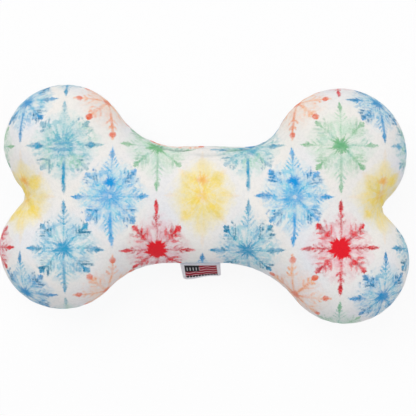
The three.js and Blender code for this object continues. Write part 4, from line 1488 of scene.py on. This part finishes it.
def woven_ribbon(label):
    """Satin ribbon with a woven pattern: a dark panel with light ticks, wavy stripes beside and
    under it, and a broken dark running line, inside a plain border. The map gives the share across
    the ribbon and the way out of the seam."""
    wave_pitch, wave_height, stripe_pitch = 7.5 * MM, 0.5 * MM, 2.9 * MM
    tick_pitch, dash_pitch = 1.9 * MM, 1.85 * MM
    thread_pitch, pick_pitch = 0.28 * MM, 0.2 * MM
    r = Surface("woven_ribbon", 0.7, Specular_IOR_Level=0.15)

    def lines(value, gone, full):
        """Lines at whole values, with the distances at which one is gone and full."""
        return r.step(gone, full, abs(value - r.math("ROUND", value)))

    place = r.map_place("along_ribbon")
    stray = r.noise(place, 0.02, 1)
    share_across, out = r.apart(place)[:2]
    across = share_across * label.width
    down = out / label.reach
    field = r.between((0.085, 0.1), (0.91, 0.895), share_across)
    field = field * r.between((0.05, 0.08), (0.97, 0.95), down)
    wave = r.math("SINE", across * (2 * math.pi / wave_pitch) + 0.6) * wave_height
    stripes = lines((out + wave + (stray - 0.5) * wave_height) / stripe_pitch, 0.22, 0.06)
    stripes = stripes * r.step(0.2, 0.7, r.noise(place, 1.6 * MM, 1))
    striped = r.mix(stripes, label.stripe_color, label.light_color)
    ticks = lines(across / tick_pitch, 0.18, 0.08) * r.between((0.18, 0.24), (0.45, 0.39), down)
    ticks = ticks * r.step(0.13, 0.16, share_across)
    panel = r.mix(ticks * 0.8, label.dark_color, label.border_color)
    in_panel = r.step(0.47, 0.45, share_across) * r.step(0.52, 0.49, down)
    dashes = lines(across / dash_pitch, 0.42, 0.32) * r.between((0.77, 0.8), (0.95, 0.92), down)
    woven = r.mix(r.step(0.86, 0.88, down), r.mix(in_panel, striped, panel), label.border_color)
    woven = r.mix(dashes, woven, label.dark_color)
    threads = abs(r.math("SINE", across * (math.pi / thread_pitch)))
    picks = abs(r.math("SINE", out * (math.pi / pick_pitch)))
    colored = r.mix(field, label.border_color, woven)
    r.paint(r.mix(threads * 0.1, colored, (0.2, 0.2, 0.22)))
    r.bump(threads * 0.6 + picks * 0.4 + field * 0.3, 0.12 * MM)
    return r.material


def fibre(stuffing):
    """Polyester fibre: white, cloudy, with fine crossing strands."""
    r = Surface("polyester_fibre", 0.95, Sheen_Weight=0.4)
    place = r.object_place()
    x, y, z = r.apart(place)
    strands = r.noise(r.together(x, y * 6, z * 2), 2.4 * MM, 3)
    strands = strands + r.noise(r.together(x * 6, y, z * 3), 2.4 * MM, 3)
    clouds = r.step(0.3, 0.7, r.noise(place, 12 * MM))
    r.paint(r.mix(clouds * 0.3 + strands * 0.15, stuffing.fibre_color, (0.72, 0.74, 0.78)))
    r.bump(strands, 0.5 * MM)
    return r.material


def moulded(name, paint_of, roughness, grain, **inputs):
    """Plastic with a faint orange-peel surface and slight clouding."""
    r = Surface(name, roughness, **inputs)
    place = r.object_place()
    r.paint(r.mix(r.noise(place, 9 * MM), paint_of, [value * 0.82 for value in paint_of]))
    r.bump(r.noise(place, grain), 0.03 * MM)
    return r.material


def brushed_brass(squeaker):
    """Rolled brass: fine lines along the reed."""
    r = Surface("rolled_brass", 0.3, Metallic=1.0)
    x, y, z = r.apart(r.object_place())
    lines = r.noise(r.together(x * 0.1, y * 6, z), 0.8 * MM)
    brass = squeaker.reed_color
    r.paint(r.mix(lines * 0.5, brass, [value * 0.6 for value in brass]))
    r.put(r.shader.inputs["Roughness"], lines * 0.25 + 0.2)
    return r.material


# Pieces


def dress(piece, node):
    """Lets a piece ride on the cover, and hides the frame node that it stands for."""
    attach(piece, "cover")
    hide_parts(node)


def repaint(node, material):
    """Gives a frame node another material."""
    materials = frame["nodes"][node].data.materials
    materials.clear()
    materials.append(material)


def joint(name):
    """One of the frame's joints."""
    return next(found for found in frame["joints"] if found["name"] == name)


BONE = {}


def bone(scene):
    """The stuffed body that all soft pieces follow, worked out once."""
    if "body" not in BONE:
        BONE["body"] = Bone(scene.bone_shape, scene.bone_sewing, scene.bone_label)
        BONE["body"].swell()
    return BONE["body"]


class MakeCovers(bpy.types.Operator):
    """Make the two printed panels of the cover"""

    bl_idname = "bone_toy.covers"
    bl_label = "Covers"

    def execute(self, context):
        scene = context.scene
        look = scene.bone_print
        body = bone(scene)
        shifts = {1: (0, 0), -1: (look.back_shift_x, look.back_shift_y)}
        for side, name in ((1, "front"), (-1, "back")):
            rings, flat, crease = body.shell(side)
            material = plush(f"{name}_plush", look, *shifts[side])
            piece = grid_object(f"{name}_cover", rings, True, material, flat, crease)
            dress(piece, f"{name}_panel")
        return {"FINISHED"}


class MakeThreads(bpy.types.Operator):
    """Make the seam's two threads and the ladder stitch"""

    bl_idname = "bone_toy.threads"
    bl_label = "Threads"
    # The ladder stitch: the distance of its middle from the seam, its swing, the share of a full turn
    # that rounds its corners, and its points between two corners
    ladder_inset = 1.1 * MM
    ladder_swing = 0.9 * MM
    ladder_round = 0.98
    ladder_points = 10

    def execute(self, context):
        s, body = context.scene.bone_sewing, bone(context.scene)
        seam, (into, over) = body.seam_line(), body.allowance_ways()
        order, level = self.lockstitch(s, body, seam)
        routes = {
            name: (seam + into * s.stitch_inset + over * side * level[:, None])[order]
            for name, side in (("needle", 1), ("bobbin", -1))
        }
        routes["closing"] = self.ladder(s, seam, into)
        material = twisted(s.thread_color, s.ply_pitch)
        for name, route in routes.items():
            piece = tube(f"{name}_stitches", route + body.offset, s.thread_radius, s.thread_sides, material)
            dress(piece, f"{name}_thread")
        return {"FINISHED"}

    @staticmethod
    def lockstitch(s, body, seam):
        """The order of the seam's points from one end of the stuffing gap round to the other, and the
        height of each over the seam, which dips and rises with the stitches."""
        gap = (seam[:, 1] > 0) & (np.abs(seam[:, 0] - s.closing_centre) < s.closing_length / 2)
        start = np.flatnonzero(gap)[-1] + 1
        order = np.roll(np.arange(len(seam)), -start)[:len(seam) - gap.sum()]
        wave = np.cos(2 * math.pi * running_length(seam) / s.stitch_length)
        level = body.seam_opening() + s.fabric_thickness + s.thread_radius * s.thread_lift_share
        return order, level + s.thread_radius * s.thread_dip_share * wave

    def ladder(self, s, seam, into):
        """The ladder stitch along the stuffing gap: a zigzag with rounded corners, the arc sine of a
        shortened cosine, in and out across the seam."""
        turns = 2 * int((s.closing_length - 4 * s.thread_radius) / s.closing_pitch)
        beat = np.linspace(0, turns, turns * self.ladder_points + 1)
        x = s.closing_centre + (beat - turns / 2) * s.closing_pitch / 2
        swing = np.arcsin(self.ladder_round * np.cos(math.pi * beat)) / (math.pi / 2)
        upper = seam[:, 1] > 0
        along_edge = np.flatnonzero(upper)[np.argsort(seam[upper, 0])]
        edge, ways = seam[along_edge], into[along_edge]
        on_seam, inwards = (
            np.stack([np.interp(x, edge[:, 0], values[:, axis]) for axis in range(3)], 1)
            for values in (edge, ways)
        )
        return on_seam + inwards * (self.ladder_inset - swing * self.ladder_swing)[:, None]


class MakeLabel(bpy.types.Operator):
    """Make the folded woven label"""

    bl_idname = "bone_toy.label"
    bl_label = "Label"
    # Where the ribbon starts and ends its bend when it swings, from the hinge: across the bone and up
    bend_start = (0.5 * MM, 0.4 * MM)
    bend_end = (-1.3 * MM, -1.1 * MM)
    # Points across the ribbon, along it inside the seam and outside it, and round the fold
    across_points = 41
    sewn_points = 8
    free_points = 60
    fold_points = 9
    # The free end's curl and where it starts as a share of the reach, and the ripple across it: its
    # height, its waves and their shift
    curl = 0.12
    curl_start = 0.35
    ripple = (0.05, 3.1, 0.6)
    # How much of a quarter circle the lower corners take
    corner_share = 0.96

    def execute(self, context):
        scene = context.scene
        label, body = scene.bone_label, bone(scene)
        rings, flat = self.ribbon(label, -body.outline.edge)
        piece = strip_object("woven_label", rings + body.offset, flat, woven_ribbon(label))
        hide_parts("label_root", "label_tab")
        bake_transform(piece)
        return {"FINISHED"}

    def ribbon(self, label, edge):
        """A closed section carried across a ribbon folded in two, and its places on the flat ribbon.
        Each layer keeps beside a middle line. Across the ribbon, the end is narrower and slants."""
        across = np.linspace(-1, 1, self.across_points)
        length = label.sewn_in + label.pivot_gap + label.reach
        sewn = np.linspace(0, label.sewn_in, self.sewn_points)[:-1]
        run = np.concatenate([sewn, np.linspace(label.sewn_in, length, self.free_points)])
        line, normal, ahead = self.middle_line(label, edge, across, run, length)
        end_angle = np.linspace(math.pi / 2, -math.pi / 2, self.fold_points)[1:-1, None, None]

        def layer(offset):
            """Both layers at one distance from the middle line, joined round the fold."""
            top, under = line + normal * offset, line - normal * offset
            round_end = line[-1] + offset * (np.cos(end_angle) * ahead + np.sin(end_angle) * normal[-1])
            return np.concatenate([top, round_end, under[::-1]])

        def both(values):
            """Values for the outside, and the same for the inside on the way back."""
            return np.concatenate([values, values[::-1]])

        section = np.concatenate([layer(label.layer + label.between / 2), layer(label.between / 2)[::-1]])
        out = np.concatenate([run, np.full(len(end_angle), length), run[::-1]]) - label.sewn_in
        bottom = np.clip((out - label.pivot_gap - label.reach + label.corner) / label.corner, 0, 1)
        cut = label.corner * (1 - np.sqrt(1 - bottom**2 * self.corner_share)) / (label.width / 2)
        down = np.clip(out / label.reach, 0, 1)
        wide = (1 - label.taper_share * down)[:, None] * across * (1 - cut[:, None])
        x = both(label.centre + label.width / 2 * wide + label.slant * down[:, None])
        shares = both(wide) / 2 + 0.5
        flat = np.stack([shares, np.broadcast_to(both(out)[:, None], shares.shape)], -1)
        return np.concatenate([x[..., None], section], -1), flat

    def middle_line(self, label, edge, across, run, length):
        """The line between the layers, level out of the seam and then bent down by the droop, with
        the direction square to it and the one ahead at its end. The droop changes across the ribbon."""
        height, waves, shift = self.ripple
        droop = label.left_droop + (label.right_droop - label.left_droop) * (across + 1) / 2
        bend_at = label.sewn_in + label.pivot_gap
        bent = smooth(bend_at - label.bend / 2, bend_at + label.bend / 2, run)
        curl = self.curl * smooth(bend_at + label.reach * self.curl_start, length, run)
        angle = bent[:, None] * droop + curl[:, None]
        angle = angle + height * np.sin(waves * across + shift) * smooth(bend_at, length, run)[:, None]
        step = np.diff(run, prepend=run[0])[:, None]
        y = edge + label.sewn_in - np.cumsum(step * np.cos(angle), 0)
        z = -np.cumsum(step * np.sin(angle), 0)
        normal = np.stack([-np.sin(angle), np.cos(angle)], -1)
        ahead = np.stack([-np.cos(angle[-1]), -np.sin(angle[-1])], -1)
        return np.stack([y, z], -1), normal, ahead


def strip_object(name, rings, flat, material):
    """A closed section carried across a strip, with flat ends. The section's points go round and the
    ends are filled by quads between its outer and its inner half."""
    count_round, count_across = rings.shape[:2]
    places = np.arange(count_round * count_across).reshape(count_round, count_across)
    after = np.roll(places, -1, 0)
    faces = [np.stack([places[:, :-1], after[:, :-1], after[:, 1:], places[:, 1:]], -1).reshape(-1, 4)]
    half = count_round // 2
    for column in (0, -1):
        outer, inner = places[:half, column], places[half:, column][::-1]
        faces.append(np.stack([outer[:-1], outer[1:], inner[1:], inner[:-1]], -1))
    points, flat = rings.reshape(-1, 3), flat.reshape(-1, 2)
    piece = make_object(name, points, np.concatenate(faces), material, flat, map_name="along_ribbon")
    face_outwards(piece)
    piece.data.set_sharp_from_angle(angle=SHARP)
    return piece


class MakeStuffing(bpy.types.Operator):
    """Make the wads of fibre"""

    bl_idname = "bone_toy.stuffing"
    bl_label = "Stuffing"
    # The waves of the tufts: share, how much finer than the pitch, and how far their seed is shifted
    tuft_waves = ((0.6, 1, 0), (0.4, 2.3, 40))
    # The share of the tuft's height by which the surface is drawn in everywhere
    least_draw = 0.6

    def execute(self, context):
        stuffing = context.scene.bone_stuffing
        material = fibre(stuffing)
        lining = grid_object("lining", bone(context.scene).lining(stuffing.gap), folded=True)
        for index, name in enumerate(sorted(n for n in frame["nodes"] if n.startswith("fill_"))):
            piece = self.wad(name, stuffing, index, lining)
            piece.data.materials.append(material)
            dress(piece, name)
        bpy.data.objects.remove(lining)
        return {"FINISHED"}

    def wad(self, name, stuffing, seed, lining):
        """A wad from a copy of the frame's solid: cut to the space inside the cover, remeshed evenly,
        and drawn in along its normals by tufts of random waves."""
        mesh = frame["nodes"][name].data.copy()
        mesh.materials.clear()
        piece = bpy.data.objects.new(name.replace("fill", "wad"), mesh)
        bpy.context.scene.collection.objects.link(piece)
        face_outwards(piece, merge=True)
        cut = piece.modifiers.new("Cut", "BOOLEAN")
        cut.operation, cut.solver, cut.object = "INTERSECT", "MANIFOLD", lining
        remesh = piece.modifiers.new("Even", "REMESH")
        remesh.mode = "VOXEL"
        remesh.voxel_size = stuffing.voxel
        shaped = piece.evaluated_get(bpy.context.evaluated_depsgraph_get())
        fine = bpy.data.meshes.new_from_object(shaped)
        piece.modifiers.clear()
        piece.data = fine
        points, normals = read_points(fine, "co"), read_points(fine, "normal")
        tufts = sum(
            part * ripples(points, stuffing.tuft_pitch / finer, seed + shift)
            for part, finer, shift in self.tuft_waves
        )
        more = (1 - self.least_draw) * np.clip(tufts + 0.5, 0, 1.5)
        drawn = stuffing.tuft_height * (self.least_draw + more)
        fine.vertices.foreach_set("co", (points - normals * drawn[:, None]).ravel())
        fine.shade_smooth()
        return piece


class MakeSqueaker(bpy.types.Operator):
    """Make the bellows of the squeaker, and finish the squeaker and its reed"""

    bl_idname = "bone_toy.squeaker"
    bl_label = "Squeaker"
    # Steps up the wall for each pleat
    pleat_steps = 24

    def execute(self, context):
        squeaker = context.scene.bone_squeaker
        blown = moulded(
            "blown_plastic", squeaker.body_color, 0.4, 0.7 * MM, Subsurface_Weight=0.15,
            Subsurface_Radius=(2 * MM, 2 * MM, 2 * MM),
        )
        self.bellows(squeaker, blown)
        for node in ("squeaker_base", "squeaker_crown"):
            repaint(node, blown)
        plug = moulded("plug_plastic", squeaker.plug_color, 0.45, 0.4 * MM)
        for node in ("reed_plug", "reed_cap"):
            repaint(node, plug)
        repaint("reed", brushed_brass(squeaker))
        return {"FINISHED"}

    def bellows(self, squeaker, material):
        """The pleated wall: its radius swings by a cosine of the height, with one wall between the
        outside and the inside."""
        low, high = PLEATS_BOX
        outer_radius = (high.x - low.x) / 2
        room = high.z - low.z
        height = np.linspace(low.z, high.z, self.pleat_steps * squeaker.pleat_count + 1)
        swing = (1 - np.cos(2 * math.pi * squeaker.pleat_count * (height - low.z) / room)) / 2
        outer = outer_radius - squeaker.pleat_depth * swing
        outside = np.stack([outer, height], -1)
        inside = np.stack([outer - squeaker.wall, height], -1)[::-1]
        centre = ((low.x + high.x) / 2, (low.y + high.y) / 2)
        piece = lathe("squeaker_bellows", np.concatenate([outside, inside]), squeaker.sides, centre, material)
        piece.data.set_sharp_from_angle(angle=SHARP)
        dress(piece, "squeaker_pleats")
        travel = max(abs(value) for value in joint("crown_press")["range_m"])
        1 - travel / room
        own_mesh(piece)


class MakeStage(bpy.types.Operator):
    """Make the floor, the lamps and the camera"""

    bl_idname = "bone_toy.stage"
    bl_label = "Stage"
    # The lamps: name, place, side and power
    lamps = (
        ("key_lamp", (-0.5, 0.65, 1.3), 1.1, 12),
        ("fill_lamp", (0.8, -0.1, 1.2), 1.2, 5),
    )

    def execute(self, context):
        look = context.scene.bone_stage
        self.camera(context.scene, look)
        self.floor(look)
        self.sky(context.scene, look)
        for lamp in self.lamps:
            self.lamp(*lamp, look)
        context.scene.view_settings.view_transform = "Standard"
        return {"FINISHED"}

    @staticmethod
    def camera(scene, look):
        """Straight above the toy, where the seam's level fills the frame's width."""
        data = bpy.data.cameras.new("camera")
        data.lens = look.lens
        camera = bpy.data.objects.new("camera", data)
        scene.collection.objects.link(camera)
        seam = PANEL_BOX[1].z - scene.bone_shape.lobe_depth / 2
        camera.location = (look.view_x, look.view_y, seam + look.view_width * look.lens / data.sensor_width)
        scene.camera = camera

    @staticmethod
    def floor(look):
        half = look.floor_size / 2
        corners = np.array([[-half, -half, 0], [half, -half, 0], [half, half, 0], [-half, half, 0]])
        r = Surface("pale_floor", 0.9)
        r.paint(look.floor_color)
        r.white_when_seen(r.shader, r.node("ShaderNodeEmission"), look.floor_glow, "Material Output")
        make_object("floor", corners, np.array([[0, 1, 2, 3]]), r.material)

    @staticmethod
    def sky(scene, look):
        """A pale light from all round, which the camera sees as white."""
        world = bpy.data.worlds.new("sky")
        world.use_nodes = True
        scene.world = world
        r = Recipe(world.node_tree)
        light = r.tree.nodes["Background"]
        r.put(light.inputs["Color"], look.sky_color)
        r.put(light.inputs["Strength"], look.sky_light)
        white = r.node("ShaderNodeBackground")
        r.put(white.inputs["Color"], (1, 1, 1))
        r.white_when_seen(light, white, 1.0, "World Output")

    @staticmethod
    def lamp(name, place, side, power, look):
        """A soft square lamp that faces the toy."""
        data = bpy.data.lights.new(name, "AREA")
        data.size = side
        data.energy = power
        data.color = look.lamp_color
        lamp = bpy.data.objects.new(name, data)
        bpy.context.scene.collection.objects.link(lamp)
        lamp.location = place
        lamp.rotation_euler = (-lamp.location).to_track_quat("-Z", "Y").to_euler()


# Panel and start

OPERATORS = (MakeStage, MakeCovers, MakeThreads, MakeLabel, MakeStuffing, MakeSqueaker)
GROUPS = {
    "bone_shape": BoneShape, "bone_sewing": Sewing, "bone_label": LabelLook, "bone_stuffing": Stuffing,
    "bone_squeaker": SqueakerLook, "bone_print": PrintLook, "bone_stage": StageLook,
}


class BoneToyPanel(bpy.types.Panel):
    """Buttons for each group of pieces, and their settings"""

    bl_idname = "VIEW3D_PT_bone_toy"
    bl_label = "Bone Toy"
    bl_space_type = "VIEW_3D"
    bl_region_type = "UI"
    bl_category = "Bone Toy"

    def draw(self, context):
        for operator in OPERATORS:
            self.layout.operator(operator.bl_idname)
        for name, group in GROUPS.items():
            box = self.layout.box()
            box.label(text=group.__doc__)
            for setting in group.__annotations__:
                box.prop(getattr(context.scene, name), setting)


def register():
    for item in (*GROUPS.values(), *OPERATORS, BoneToyPanel):
        bpy.utils.register_class(item)
    for name, group in GROUPS.items():
        setattr(bpy.types.Scene, name, bpy.props.PointerProperty(type=group))


def unregister():
    for name in GROUPS:
        delattr(bpy.types.Scene, name)
    for item in (BoneToyPanel, *OPERATORS, *GROUPS.values()):
        bpy.utils.unregister_class(item)


def main():
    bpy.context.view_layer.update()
    register()
    for operator in OPERATORS:
        group, name = operator.bl_idname.split(".")
        getattr(getattr(bpy.ops, group), name)()


if __name__ == "__main__":
    main()
